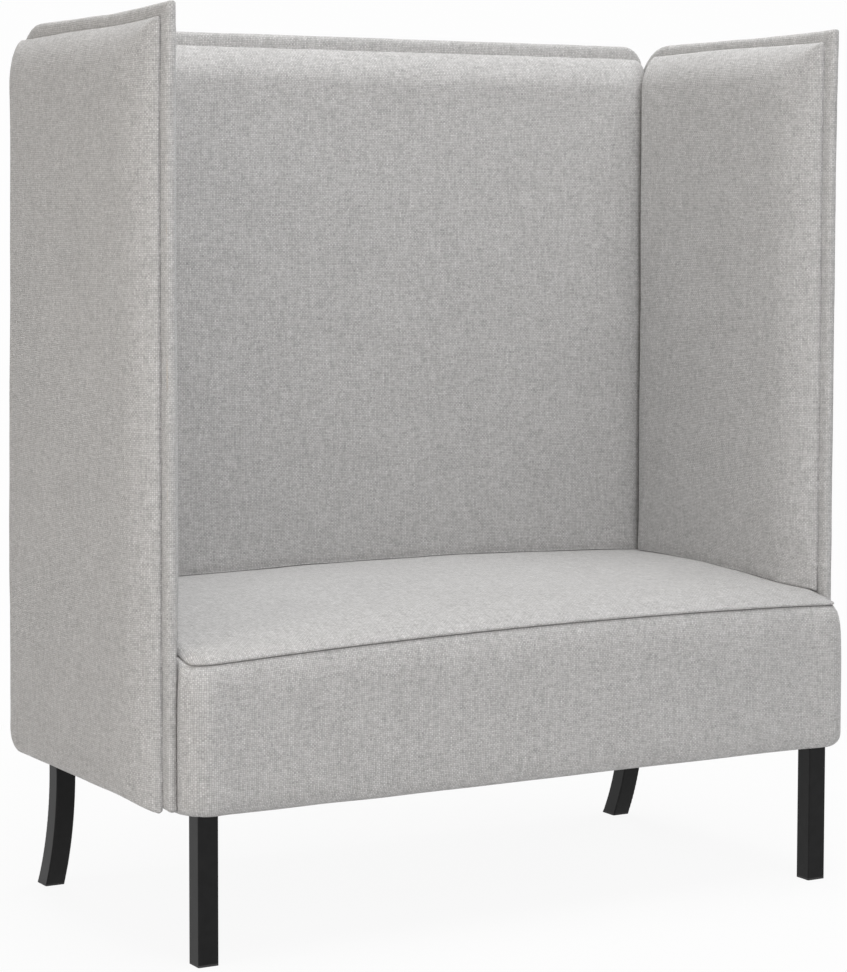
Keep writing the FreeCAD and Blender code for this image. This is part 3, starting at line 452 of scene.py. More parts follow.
def cushion_form(outline, radii, shoulders, depth):
    """A crowned closed cushion as (points, quads, weave); its points are (across, up, out)."""
    low, foot, high, top = outline
    cells = cells_for(high - low, top - foot)
    size = 2 * sum(cells)
    angles = np.linspace(0, math.pi / 2, EDGE_RINGS)
    drawn = 1 - np.cos(angles)
    rise = EDGE_FULLNESS * np.sin(angles) + (1 - EDGE_FULLNESS) * np.sin(math.pi / 2 * drawn)
    level = depth - CROWN
    heights = np.concatenate(([0], EDGE_LIP + (level - EDGE_LIP) * rise, [level]))
    drawn = np.concatenate(([0], drawn, [1]))
    rings = cushion_rings(outline, radii, shoulders, drawn, cells)
    face = fill_of(rings[-1], cells)[1:-1, 1:-1]
    backing = fill_of(rings[0], cells)[1:-1, 1:-1].reshape(-1, 2)
    u = np.linspace(0, 1, cells[0] + 1)[1:-1, None]
    v = np.linspace(0, 1, cells[1] + 1)[None, 1:-1]
    crown = level + CROWN * np.sin(math.pi * u) * np.sin(math.pi * v)
    flat = np.concatenate((*rings, face.reshape(-1, 2), backing))
    out = BACKING_GAP + np.concatenate((np.repeat(heights, size), crown.ravel(), np.zeros(len(backing))))

    starts = [size * number for number in range(len(rings))]
    face_start = size * len(rings)
    backing_start = face_start + crown.size
    quads = np.concatenate((
        ring_quads(starts, size),
        grid_quads(fill_index(starts[-1], face_start, cells)),
        grid_quads(fill_index(starts[0], backing_start, cells))[:, ::-1],
    ))
    path = path_lengths(np.column_stack((drawn * SHOULDER, heights)))
    slack = path[-1] - path - SHOULDER * (1 - drawn)
    ways = np.concatenate([ring_ways(ring) for ring in rings])
    weave = flat.copy()
    weave[:face_start] += ways * np.repeat(slack, size)[:, None]
    number = np.arange(len(flat))
    held = (number < size) | (number >= backing_start)
    if shoulders[1] <= FOOT_SHOULDER:
        held |= flat[:, 1] < foot + 2 * EDGE_GROOVE
    points = swell(np.column_stack((flat, out)), quads, np.nonzero(held)[0], PAD_SWELL)
    return points, quads, weave


def place_cushion(panel, form, place, bend, fabric):
    """Puts a cushion on its panel: a little uneven, bent to its neighbours, and turned into the frame."""
    points, quads, weave = form
    seed = PIECE_SEEDS[panel]
    loose = np.clip(points[:, 2] / points[:, 2].max(), 0, 1)
    hills = waves(points, PAD_HILLS, seed) + waves(points, PAD_DIMPLES, seed)
    across, up, out = bend(
        points[:, 0] + waves(points, PAD_DRIFT_ACROSS, seed),
        points[:, 1] + waves(points, PAD_DRIFT_UP, seed),
        points[:, 2] + hills * loose,
    )
    mesh = new_mesh(f"{panel}_cushion", place(across, up, out), quads, weave[quads])
    face_outwards(mesh)
    mesh.set_sharp_from_angle(angle=CREASE)
    replaced = (f"{panel}_pad_cover", f"{panel}_pad_foam")
    new_piece(mesh, fabric, replaced)


def near_top(up):
    """0 well below a panel's upper edge, 1 at it."""
    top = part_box("right_edge_wrap")[1].z
    return smooth_step(up, top - EAR_FADE, top)


def ear_bend(height):
    """Pulls a side panel's front corners outwards, the upper one into an ear."""
    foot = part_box("right_edge_wrap")[0].z

    def bend(across, up, out):
        forward = np.clip((EAR_START - across) / (EAR_START - PANEL_FRONT), 0, EAR_LIMIT) ** 2
        lift = height * forward * near_top(up)
        drop = FOOT_EAR * forward ** 2 * (1 - smooth_step(up, foot, foot + EAR_FADE))
        return across - EAR_FLARE * lift, up + lift - drop, out
    return bend


def bow_bend(height):
    """The ear, and an inner cushion whose upper seam bows up between its ends."""
    ear = ear_bend(height)
    low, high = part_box("right_inner_pad_cover")

    def bend(across, up, out):
        share = np.clip((across - low.y) / (high.y - low.y), 0, 1)
        bow = TOP_BOW * np.sin(math.pi * share) * near_top(up)
        return ear(across, up + bow, out)
    return bend


def taper_bend(height):
    """The ear, and an outer cushion that sinks and grows thinner and shorter towards its rear top."""
    ear = ear_bend(height)

    def bend(across, up, out):
        droop = REAR_DROOP * smooth_step(across, *DROOP_DEPTHS) * near_top(up)
        across, up, out = ear(across, up - droop, out)
        higher = smooth_step(up, *TAPER_HEIGHTS)
        back = smooth_step(across, *TAPER_DEPTHS)
        return across - REAR_TAPER * higher * back, up, out * (1 + DEPTH_TAPER * (1 - 2 * higher))
    return bend


def stay(across, up, out):
    """No bend."""
    return across, up, out


def seated_bend(bend, foot, seat_line):
    """Lets a cushion's lower edge follow the seat that it stands on."""
    def seated(across, up, out):
        across, up, out = bend(across, np.maximum(up, foot), out)
        gone = 1 - smooth_step(up, foot, foot + FOOT_FADE)
        return across, up + (seat_line(across, out) + SEAT_CONTACT - foot) * gone, out
    return seated


def side_place(sign, base, outward):
    """Across is Y and out is away from the plane at X = base, on the right or the left side."""
    def place(across, up, out):
        return np.column_stack((sign * (base + outward * out), across, up))
    return place


def back_place(base, outward):
    """Across is X and out is away from the plane at Y = base."""
    def place(across, up, out):
        return np.column_stack((across, base + outward * out, up))
    return place


def make_side_cushions(fabric):
    """The outer and the inner cushion of both side panels."""
    wrap_low, wrap_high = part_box("right_edge_wrap")
    inner_low, inner_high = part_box("right_inner_pad_cover")
    outer_low, outer_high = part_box("right_outer_pad_cover")
    outer = cushion_form(
        (outer_low.y - PAD_REACH, outer_low.z - FOOT_REACH, outer_high.y, outer_high.z + PAD_REACH),
        (SHARP_CORNER, REAR_FOOT_CORNER, REAR_TOP_CORNER, SHARP_CORNER),
        (OUTER_FRONT_SHOULDER, OUTER_FOOT_SHOULDER, REAR_SHOULDER, SHOULDER),
        outer_high.x - outer_low.x,
    )
    for side, sign in SIDES:
        bend = taper_bend(EARS[side])
        place_cushion(f"{side}_outer", outer, side_place(sign, wrap_high.x, 1), bend, fabric)
        inner = cushion_form(
            (inner_low.y - FRONT_REACHES[side], inner_low.z, inner_high.y, inner_high.z + PAD_REACH),
            (SHARP_CORNER, SHARP_CORNER, SHARP_CORNER, SHARP_CORNER),
            (FRONT_SHOULDERS[side], FOOT_SHOULDER, TUCKED_SHOULDER, SHOULDER),
            inner_high.x - inner_low.x,
        )
        seat_line = partial(seat_along_side, sign, wrap_low.x)
        bend = seated_bend(bow_bend(EARS[side]), inner_low.z, seat_line)
        place_cushion(f"{side}_inner", inner, side_place(sign, wrap_low.x, -1), bend, fabric)


def make_back_cushions(fabric):
    """The inner and the outer cushion of the back panel."""
    wrap_low, wrap_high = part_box("back_edge_wrap")
    low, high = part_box("back_inner_pad_cover")
    inner = cushion_form(
        (low.x, low.z, high.x, high.z + BACK_REACH),
        (SHARP_CORNER, SHARP_CORNER, BACK_TOP_CORNER, BACK_TOP_CORNER),
        (BACK_END_SHOULDER, FOOT_SHOULDER, BACK_END_SHOULDER, SHOULDER),
        high.y - low.y,
    )
    bend = seated_bend(stay, low.z, partial(seat_along_back, wrap_low.y))
    place_cushion("back_inner", inner, back_place(wrap_low.y, -1), bend, fabric)
    low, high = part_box("back_outer_pad_cover")
    outer = cushion_form(
        (low.x, low.z, high.x, high.z + BACK_REACH),
        (SOFT_CORNER, SOFT_CORNER, SOFT_CORNER, SOFT_CORNER),
        (SHOULDER, OUTER_FOOT_SHOULDER, SHOULDER, SHOULDER),
        high.y - low.y,
    )
    place_cushion("back_outer", outer, back_place(wrap_high.y, 1), stay, fabric)


# Wrapped edges of the panels


def wrap_section(thick):
    """Round a panel's edge in section, as (inset, through): the outside of the fabric, then its inside."""
    angles = np.linspace(0, math.pi / 2, WRAP_RINGS)
    power = 2 / WRAP_FULLNESS
    half = [(WRAP_REACH, 0), ((WRAP_REACH + WRAP_ROUND) / 2, 0)]
    for angle in angles:
        inset = WRAP_ROUND - (WRAP_ROUND + WRAP_BULGE) * math.sin(angle) ** power
        half.append((inset, thick / 2 * (1 - max(math.cos(angle), 0) ** power)))
    outside = half + [(inset, thick - through) for inset, through in half[-2::-1]]
    inside = [(WRAP_REACH, FABRIC), (WRAP_ROUND, FABRIC), (FABRIC, FABRIC), (FABRIC, thick / 2)]
    inside += [(inset, thick - through) for inset, through in inside[-2::-1]]
    return np.array(outside + inside[::-1]), len(outside)


def make_flange(panel, place, bend, outline, radii, thick, fabric):
    """The fabric wrapped over a panel's edge, all round the panel."""
    low, foot, high, top = outline
    cells = cells_for(high - low, top - foot)
    size = 2 * sum(cells)
    section, outside_count = wrap_section(thick)
    count = len(section)
    rings = []
    for inset in section[:, 0]:
        box = (low + inset, foot + inset, high - inset, top - inset)
        rings.append(ring_of(box, [max(radius - inset, FABRIC / 2) for radius in radii], cells))
    flat = np.concatenate(rings)
    through = np.repeat(section[:, 1], size)
    quads = ring_quads([size * number for number in range(count)] + [0], size)
    path = path_lengths(section)
    slack = np.repeat(path - (WRAP_REACH - section[:, 0]), size)[:, None]
    weave = flat + np.concatenate([ring_ways(ring) for ring in rings]) * slack

    solid = np.column_stack((flat, through))
    seed = PIECE_SEEDS[f"{panel}_flange"]
    ripple = waves(solid, FLANGE_RIPPLE, seed) + waves(solid, FLANGE_PUCKER, seed)
    across, up, through = bend(flat[:, 0], flat[:, 1], through + ripple)
    edge = np.repeat(smooth_step(-section[:, 0], -WRAP_ROUND, 0), size)
    upper = smooth_step(flat[:, 1], top - LIFT_FADE, top)
    lift = np.abs(waves(solid, FLANGE_LIFT, seed)) * edge * upper
    mesh = new_mesh(f"{panel}_flange", place(across, up + lift, through), quads, weave[quads])
    face_outwards(mesh)
    piece = new_piece(mesh, fabric, (f"{panel}_edge_wrap",))


def make_flanges(fabric):
    """The wrapped edges of the two side panels and the back panel."""
    low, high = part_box("right_edge_wrap")
    radii = (SHARP_CORNER, FLANGE_REAR_FOOT, FLANGE_REAR_TOP, FABRIC)
    outline = (low.y, low.z, high.y, high.z)
    for side, sign in SIDES:
        place = side_place(sign, low.x, 1)
        make_flange(side, place, ear_bend(EARS[side]), outline, radii, high.x - low.x, fabric)
    low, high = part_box("back_edge_wrap")
    radii = (SHARP_CORNER, SHARP_CORNER, FLANGE_BACK_CORNER, FLANGE_BACK_CORNER)
    outline = (low.x, low.z, high.x, high.z)
    make_flange("back", back_place(low.y, 1), stay, outline, radii, high.y - low.y, fabric)


# Seat


def seat_box():
    """The seat's outline from above."""
    low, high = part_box("seat_cover")
    return low.x, low.y, high.x, high.y


def across_share(x):
    """1 in the seat's middle, 0 at its ends."""
    return 1 - np.clip(np.abs(x) / seat_box()[2], 0, 1) ** 2


def by_end(x, values):
    """The value for the seat's right or left end, at each place."""
    return np.where(x > 0, values["right"], values["left"])


def seam_line(x):
    """Height of the front seam between the seat's border and its top."""
    return SEAM_END + SEAM_CROWN * across_share(x) + SEAM_TILT * x / seat_box()[2]


def seam_height(x, y):
    """Height of the whole seam, which climbs at the front corners."""
    turned = seat_box()[1] + SEAM_RISE_START * by_end(x, SEAT_CORNERS)
    return seam_line(x) + SEAM_SIDE_RISE * smooth_step(y, turned, SEAM_RISE_END)


def front_shares(ring):
    """1 ahead of the side panels, and 1 at the two front corners, at a ring's points."""
    ahead = 1 - smooth_step(ring[:, 1], *AHEAD_FADE)
    half = seat_box()[2]
    return ahead, ahead * smooth_step(np.abs(ring[:, 0]), half - CORNER_START, half - CORNER_FULL)


def seam_draw(ring):
    """How far the seam is drawn in, at a ring's points."""
    return SEAM_DRAW + by_end(ring[:, 0], CORNER_DRAWS) * front_shares(ring)[1]


def seat_rise(share):
    """Share of the crown's height above the seam: quick near the front, fullest past the middle."""
    edge = RISE_EDGE * (1 - np.exp(-share / RISE_EDGE_LONG))
    body = RISE_BODY * np.sin(math.pi / 2 * np.clip(share / RISE_BODY_LONG, 0, 1))
    fall = RISE_FALL * np.clip((share - RISE_BODY_LONG) / RISE_FALL_LONG, 0, 1) ** 2
    return edge + body - fall


def seat_top(x, y):
    """Height of the seat's top, a little uneven, and rounded off to its seam at the front corners."""
    _, front, half, rear = seat_box()
    share = np.clip((y - front) / (rear - front), 0, 1)
    crown = CROWN_END + (CROWN_MIDDLE - CROWN_END) * across_share(x)
    near_end = np.clip((half - np.abs(x)) / END_ROUND, 0, 1)
    rounded = np.sqrt(1 - (1 - near_end) ** 2)
    ahead = 1 - smooth_step(y, *TOP_AHEAD_FADE)
    above = (crown - seam_line(x)) * seat_rise(share) * (1 - ahead * (1 - rounded))
    flat = np.column_stack((x, y, np.zeros(len(x))))
    hills = waves(flat, SEAT_HILLS) + waves(flat, SEAT_DIMPLES)
    return seam_line(x) + above + hills * smooth_step(above, *HILLS_FADE)


def seat_along_side(sign, base, across, out):
    """Height of the seat under a cushion on a side panel."""
    return seat_top(sign * (base - out), across)


def seat_along_back(base, across, out):
    """Height of the seat under the cushion on the back panel."""
    return seat_top(across, base - out)


def near_leg(points):
    """1 where a place is beside a leg, 0 well away from it."""
    result = np.zeros(len(points))
    for glide in ("front_right_glide", "front_left_glide", "rear_right_glide", "rear_left_glide"):
        low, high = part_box(glide)
        aside = np.abs(points[:, 0] - (low.x + high.x) / 2)
        before = np.abs(points[:, 1] - (low.y + high.y) / 2)
        result = np.maximum(result, 1 - smooth_step(np.maximum(aside, before), *LEG_ROOM))
    return result


def border_rows(ring):
    """The seat's border from its lower lip to its seam, as rows of (inset, height) at the ring's points."""
    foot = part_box("seat_cover")[0].z
    seam = seam_height(ring[:, 0], ring[:, 1])
    ahead, corner = front_shares(ring)
    flat = np.column_stack((ring, np.zeros(len(ring))))
    sag = ahead * (BORDER_SAG[0] + waves(flat, BORDER_SAG))
    level = np.full(len(ring), foot)
    lip = LIP_LONG + (LIP_AT_LEG - LIP_LONG) * near_leg(ring)
    round_in = SIDE_FOOT_ROUND + (FOOT_ROUND_IN - SIDE_FOOT_ROUND) * ahead
    round_up = SIDE_FOOT_ROUND + (FOOT_ROUND_UP - SIDE_FOOT_ROUND) * ahead
    rows = [(lip, level), ((lip + round_in) / 2, level)]
    wall_foot = foot + round_up
    bulge = (BORDER_BULGE + CORNER_BULGE * corner) * ahead
    for angle in np.linspace(0, math.pi / 2, FOOT_ROWS):
        inset = round_in - (round_in + bulge) * math.sin(angle)
        rows.append((inset, level + round_up * (1 - math.cos(angle)) - sag * math.cos(angle)))
    for share in np.linspace(0, 1, BORDER_ROWS)[1:]:
        drawn = seam_draw(ring) * max((share - DRAW_START) / DRAW_LONG, 0) ** 2
        swollen = bulge * math.sqrt(1 - share ** BULGE_POWER)
        rows.append((drawn * ahead - swollen, wall_foot + share * (seam - wall_foot)))
    rows.append((seam_draw(ring) * ahead + SEAM_DEEP, seam + SEAM_OPEN))
    return rows


def lip_rows(ring):
    """The top's edge: out of the groove, round a small lip, and in towards the top."""
    seam = seam_height(ring[:, 0], ring[:, 1])
    return [(seam_draw(ring) + inward, seam + upward) for inward, upward in TOP_LIP]


def on_seat(flat):
    """Points on the seat's top above places in its plan."""
    return np.column_stack((flat, seat_top(flat[:, 0], flat[:, 1])))


def top_rings(outline, radii, cells):
    """Rings on the seat's top, each further in than the one before."""
    low, front, high, rear = outline
    rings = []
    for inset in TOP_INSETS:
        box = (low + inset, front + inset, high - inset, rear - inset)
        rounded = [radius + inset * TOP_CORNER_GROWTH for radius in radii]
        rings.append(on_seat(ring_of(box, rounded, cells)))
    return rings


def border_weave(edge, path):
    """The weave at the corners of the border's quads: it runs round the seat and up the border."""
    around = path_lengths(np.vstack((edge, edge[:1])))
    weave = np.zeros((len(path) - 1, len(edge), 4, 2))
    weave[..., 0] = np.stack((around[:-1], around[1:], around[1:], around[:-1]), -1)
    weave[..., :2, 1] = path[:-1, None, None]
    weave[..., 2:, 1] = path[1:, None, None]
    return weave.reshape(-1, 4, 2)


def seat_held(points, starts, border_count):
    """The vertices that stay as the seat swells: its lip, its seam and what lies under the cushions."""
    inner_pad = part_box("right_inner_pad_cover")[0].x
    back_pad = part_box("back_inner_pad_cover")[0].y
    held = (np.abs(points[:, 0]) > inner_pad - HELD_MARGIN) | (points[:, 1] > back_pad - HELD_MARGIN)
    held[:starts[HELD_FOOT_ROWS]] = True
    held[starts[border_count - HELD_BELOW_SEAM]:starts[border_count + HELD_ABOVE_SEAM]] = True
    return np.nonzero(held)[0]


def make_seat(fabric):
    """The seat's border and its crowned top, with the seam between them."""
    outline = seat_box()
    cells = cells_for(outline[2] - outline[0], outline[3] - outline[1])
    size = 2 * sum(cells)
    radii = (SEAT_CORNERS["left"], SEAT_CORNERS["right"], SEAT_REAR_CORNER, SEAT_REAR_CORNER)
    edge = ring_of(outline, radii, cells)
    ways = ring_ways(edge)
    border = border_rows(edge)
    count = len(border)
    rings = []
    for inset, height in border + lip_rows(edge):
        rings.append(np.column_stack((edge - ways * inset[:, None], height)))
    rings += top_rings(outline, radii, cells)
    inner = fill_of(rings[-1][:, :2], cells)[1:-1, 1:-1].reshape(-1, 2)
    points = np.concatenate((*rings, on_seat(inner)))
    starts = [size * number for number in range(len(rings))]
    top_quads = np.concatenate((
        ring_quads(starts[count - 1:], size),
        grid_quads(fill_index(starts[-1], size * len(rings), cells)),
    ))
    quads = np.concatenate((ring_quads(starts[:count], size), top_quads))

    front_middle = cells[0] // 2
    profile = np.array([ring[front_middle, 1:] for ring in rings])
    path = path_lengths(profile)
    weave = points[:, :2].copy()
    for number in range(count - 1, len(rings)):
        slack = path[-1] - path[number] - (profile[-1, 0] - profile[number, 0])
        weave[starts[number]:starts[number] + size] += ways * slack
    corner_uv = np.concatenate((border_weave(edge, path[:count]), weave[top_quads]))
    points = swell(points, quads, seat_held(points, starts, count), SEAT_SWELL)
    mesh = new_mesh("seat_cushion", points, quads, corner_uv)
    replaced = ("seat_cover", "seat_foam", "spring_felt")
    new_piece(mesh, fabric, replaced)


# Dust cover under the seat


def dust_lines():
    """The dust cover's grid lines, in X and in Y; the outermost cells lie beside the leg slots."""
    low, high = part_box("dust_cover")
    inner_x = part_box("front_right_glide")[0].x - LEG_GAP
    inner_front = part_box("front_right_glide")[1].y + LEG_GAP
    inner_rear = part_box("rear_right_leg")[0].y - LEG_GAP
    spans = (low.x, -inner_x, inner_x, high.x), (low.y, inner_front, inner_rear, high.y)
    lines = []
    for edge, first, last, far in spans:
        count = round((last - first) / DUST_CELL)
        lines.append(np.concatenate(([edge], np.linspace(first, last, count + 1), [far])))
    return lines


def dust_slack(value, lines):
    """0 in the stapled margins, 1 in the middle between them."""
    share = np.clip((value - lines[1]) / (lines[-2] - lines[1]), 0, 1)
    return math.sin(math.pi * share) ** DUST_FULLNESS


def make_dust_cover(material):
    """A thin sheet stapled under the frame, cut out at the legs and sagging a little inside its margins."""
    low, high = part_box("dust_cover")
    columns, rows = dust_lines()
    shape = bmesh.new()
    grid = []
    for x in columns:
        grid.append([])
        for y in rows:
            slack = dust_slack(x, columns) * dust_slack(y, rows)
            pucker = DUST_PUCKER * abs(noise.noise(Vector((x, y, 0)) * DUST_PUCKERS))
            grid[-1].append(shape.verts.new((x, y, high.z - (DUST_SAG + pucker) * slack)))
    ends = (0, len(columns) - 2), (0, len(rows) - 2)
    for i in range(len(columns) - 1):
        for j in range(len(rows) - 1):
            if i not in ends[0] or j not in ends[1]:
                shape.faces.new((grid[i][j], grid[i][j + 1], grid[i + 1][j + 1], grid[i + 1][j]))
    bmesh.ops.delete(shape, geom=[vert for vert in shape.verts if not vert.link_faces], context="VERTS")
    bmesh.ops.solidify(shape, geom=shape.faces[:], thickness=high.z - low.z)
    mesh = bpy.data.meshes.new("dust_sheet")
    shape.to_mesh(mesh)
    shape.free()
    face_outwards(mesh)
    mesh.polygons.foreach_set("use_smooth", [True] * len(mesh.polygons))
    piece = new_piece(mesh, material, ("dust_cover",))


def staple_places():
    """Middles of the staples in the dust cover's margins, each with the way that its crown lies."""
    columns, rows = dust_lines()
    places = []
    for y in ((rows[0] + rows[1]) / 2, (rows[-2] + rows[-1]) / 2):
        for x in np.arange(columns[1] + STAPLE_PITCH / 2, columns[-2], STAPLE_PITCH):
            places.append((x, y, (1, 0)))
    for x in ((columns[0] + columns[1]) / 2, (columns[-2] + columns[-1]) / 2):
        for y in np.arange(rows[1] + STAPLE_PITCH / 2, rows[-2], STAPLE_PITCH):
            places.append((x, y, (0, 1)))
    return places


def make_staples(material):
    """Wire staples whose crowns lie flat under the dust cover, with their ends turned up to it."""
    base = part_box("dust_cover")[0].z - STAPLE_GAP
    half = STAPLE_LONG / 2
    crown = [(-half, 0.0), (-half, -STAPLE_BEND * STAPLE_DROP), (-STAPLE_FLAT * half, -STAPLE_DROP)]
    crown += [(-along, fall) for along, fall in crown[::-1]]
    narrower = 1 - STAPLE_INSIDE * STAPLE_WIRE / half
    inner = [(along * narrower, min(fall + STAPLE_WIRE, 0)) for along, fall in crown]
    points = []
    faces = []
    for x, y, (way_x, way_y) in staple_places():
        first = len(points)
        for along, fall in crown + inner:
            for side in (-STAPLE_WIRE, STAPLE_WIRE):
                place = x + way_x * along - way_y * side, y + way_y * along + way_x * side
                points.append((*place, base + fall))
        for number in range(len(crown) - 1):
            a = first + 2 * number
            b = a + 2 * len(crown)
            faces += [(a, a + 1, a + 3, a + 2), (b, b + 2, b + 3, b + 1)]
            faces += [(a, a + 2, b + 2, b), (a + 1, b + 1, b + 3, a + 3)]
    mesh = bpy.data.meshes.new("dust_staples")
    mesh.from_pydata(points, [], faces)
    face_outwards(mesh)
    new_piece(mesh, material, ())


# Materials


class Shader:
    """Adds nodes to a material or to the world, and links them."""

    def __init__(self, owner, surface="Principled BSDF"):
        owner.use_nodes = True
        self.owner = owner
        self.tree = owner.node_tree
        self.surface = self.tree.nodes[surface]

    def add(self, kind, inputs=None, **settings):
        node = self.tree.nodes.new(kind)
        for name, value in settings.items():
            setattr(node, name, value)
        for name, value in (inputs or {}).items():
            self.put(node, name, value)
        return node

    def put(self, node, name, value):
        """Sets a socket, or links it where the value is another socket."""
        if isinstance(value, bpy.types.NodeSocket):
            self.tree.links.new(value, node.inputs[name])
        else:
            node.inputs[name].default_value = value

    def place(self):
        """Where a point lies on its piece."""
        return self.add("ShaderNodeTexCoord").outputs["Object"]

    def seen(self):
        """1 where it is seen directly, in a reflection or through glass."""
        rays = self.add("ShaderNodeLightPath").outputs
        sharp = self.math("MAXIMUM", rays["Is Glossy Ray"], rays["Is Transmission Ray"])
        return self.math("MAXIMUM", rays["Is Camera Ray"], sharp)

    def math(self, operation, *values):
        node = self.add("ShaderNodeMath", dict(enumerate(values)), operation=operation)
        return node.outputs[0]

    def span(self, value, least, gain):
        """The least, and the gain on top of it where the value is 1."""
        return self.math("ADD", least, self.math("MULTIPLY", value, gain))

    def vector(self, operation, *values, **named):
        node = self.add("ShaderNodeVectorMath", {**dict(enumerate(values)), **named}, operation=operation)
        return node.outputs["Value" if operation == "LENGTH" else "Vector"]

    def mix(self, share, first, second):
        node = self.add("ShaderNodeMix", {"Factor": share, "A": first, "B": second})
        return node.outputs["Result"]

    def noise(self, vector, scale, detail):
        inputs = {"Vector": vector, "Scale": scale, "Detail": detail}
        return self.add("ShaderNodeTexNoise", inputs).outputs["Fac"]

    def ramp(self, share, *stops):
        """Colours by share; a stop is (place, colour)."""
        node = self.add("ShaderNodeValToRGB", {"Fac": share})
        elements = node.color_ramp.elements
        while len(elements) < len(stops):
            elements.new(1)
        for element, (place, colour) in zip(elements, stops):
            element.position = place
            element.color = (*colour, 1)
        return node.outputs["Color"]

    def bump(self, height, strength, distance):
        inputs = {"Height": height, "Strength": strength, "Distance": distance}
        self.put(self.surface, "Normal", self.add("ShaderNodeBump", inputs).outputs["Normal"])

    def set(self, **sockets):
        """Sets the surface's sockets; an underscore stands for a space."""
        for name, value in sockets.items():
            self.put(self.surface, name.replace("_", " "), value)


def yarn_arch(shader, share, power):
    """1 at a yarn's crest and 0 at its two sides; a higher power keeps the crest longer."""
    centred = shader.math("ABSOLUTE", shader.math("SUBTRACT", shader.math("MULTIPLY", share, 2.0), 1.0))
    return shader.math("SUBTRACT", 1.0, shader.math("POWER", centred, power))


def yarn_tone(shader, weave, counted, fibre, warp_on_top, yarn, run):
    """Melange tone from 0 to 1: slubs along each yarn, fibres, and flecks and clouds across the yarns."""
    spun = shader.add("ShaderNodeCombineXYZ", {
        "X": shader.math("MULTIPLY", yarn, YARN_APART),
        "Y": shader.math("MULTIPLY", run, SLUB_RUN),
        "Z": shader.math("MULTIPLY", warp_on_top, WARP_APART),
    }).outputs[0]
    slub = shader.noise(spun, scale=1.0, detail=3.0)
    cloud = shader.noise(weave, scale=9.0, detail=2.0)
    fleck = shader.noise(counted, scale=0.55, detail=1.0)
    tone = shader.math("MULTIPLY", slub, 0.44)
    for part, share in ((fibre, 0.14), (cloud, 0.04), (fleck, 0.34), (warp_on_top, 0.06)):
        tone = shader.math("MULTIPLY_ADD", part, share, tone)
    return tone


def woven_fabric():
    """Light grey melange in plain weave: two sets of yarns that pass over and under each other, with
    painted shade in the crevices between the yarns.
    """
    shader = Shader(bpy.data.materials.new("woven_upholstery"))
    weave = shader.add("ShaderNodeUVMap", uv_map="weave").outputs["UV"]
    wander = shader.add("ShaderNodeTexNoise", {"Vector": weave, "Scale": 70.0, "Detail": 3.0})
    drift = shader.vector("SCALE", wander.outputs["Color"], Scale=YARN_DRIFT)
    counted = shader.vector("SCALE", shader.vector("ADD", weave, drift), Scale=1 / YARN)
    place = shader.add("ShaderNodeSeparateXYZ", {"Vector": counted}).outputs
    warp = shader.math("FLOOR", place["X"])
    weft = shader.math("FLOOR", place["Y"])
    half = shader.math("MULTIPLY", shader.math("ADD", warp, weft), 0.5)
    warp_on_top = shader.math("GREATER_THAN", shader.math("FRACT", half), 0.25)
    in_x = shader.math("FRACT", place["X"])
    in_y = shader.math("FRACT", place["Y"])
    across_arch = yarn_arch(shader, shader.mix(warp_on_top, in_y, in_x), power=2.0)
    along_arch = yarn_arch(shader, shader.mix(warp_on_top, in_x, in_y), power=4.0)
    height = shader.math("MULTIPLY", shader.math("POWER", across_arch, 0.6), along_arch)

    yarn = shader.mix(warp_on_top, weft, warp)
    run = shader.mix(warp_on_top, place["X"], place["Y"])
    fibre = shader.noise(counted, scale=3.1, detail=2.0)
    tone = yarn_tone(shader, weave, counted, fibre, warp_on_top, yarn, run)
    colour = shader.ramp(tone, DARK_YARN, LIGHT_YARN)
    # Painted shade: the colour is darkened towards each yarn's sides, down to 0.62 of it, for the shade in
    # the crevices between the yarns.
    painted_shade_colour = shader.add("ShaderNodeMix", {6: colour, 7: (0, 0, 0, 1)}, data_type="RGBA", clamp_factor=True)
    shader.put(painted_shade_colour, 0, shader.math("SUBTRACT", 1.0, shader.span(height, least=0.62, gain=0.38)))
    shader.set(Base_Color=painted_shade_colour.outputs[2], Roughness=shader.span(fibre, least=0.82, gain=0.16))
    shader.set(Sheen_Weight=0.22, Sheen_Roughness=0.45, Specular_IOR_Level=0.25)
    surface = shader.math("ADD", height, shader.math("MULTIPLY", fibre, 0.25))
    shader.bump(surface, strength=0.55, distance=0.0006)
    return shader.owner


def powder_coat():
    """Black satin powder coat with a fine orange-peel surface."""
    shader = Shader(bpy.data.materials.new("black_powder_coat"))
    place = shader.place()
    peel = shader.noise(place, scale=700.0, detail=2.0)
    dust = shader.noise(place, scale=60.0, detail=4.0)
    rubbed = shader.noise(place, scale=14.0, detail=3.0)
    colour = shader.ramp(dust, (0.3, (0.0060, 0.0060, 0.0062)), (0.75, (0.0100, 0.0100, 0.0104)))
    rough = shader.span(rubbed, least=0.32, gain=0.10)
    shader.set(Base_Color=colour, Roughness=rough, Specular_IOR_Level=0.17)
    shader.bump(peel, strength=0.12, distance=0.0002)
    return shader.owner


def moulded_plastic():
    """Black plastic of the glides, grained and a little scuffed."""
    shader = Shader(bpy.data.materials.new("black_glide_plastic"))
    place = shader.place()
    grain = shader.noise(place, scale=1500.0, detail=2.0)
    scuff = shader.noise(place, scale=90.0, detail=4.0)
    colour = shader.ramp(scuff, (0.35, (0.012, 0.012, 0.012)), (0.8, (0.035, 0.035, 0.036)))
    shader.set(Base_Color=colour, Roughness=shader.span(scuff, least=0.55, gain=0.25))
    shader.bump(grain, strength=0.2, distance=0.0001)
    return shader.owner


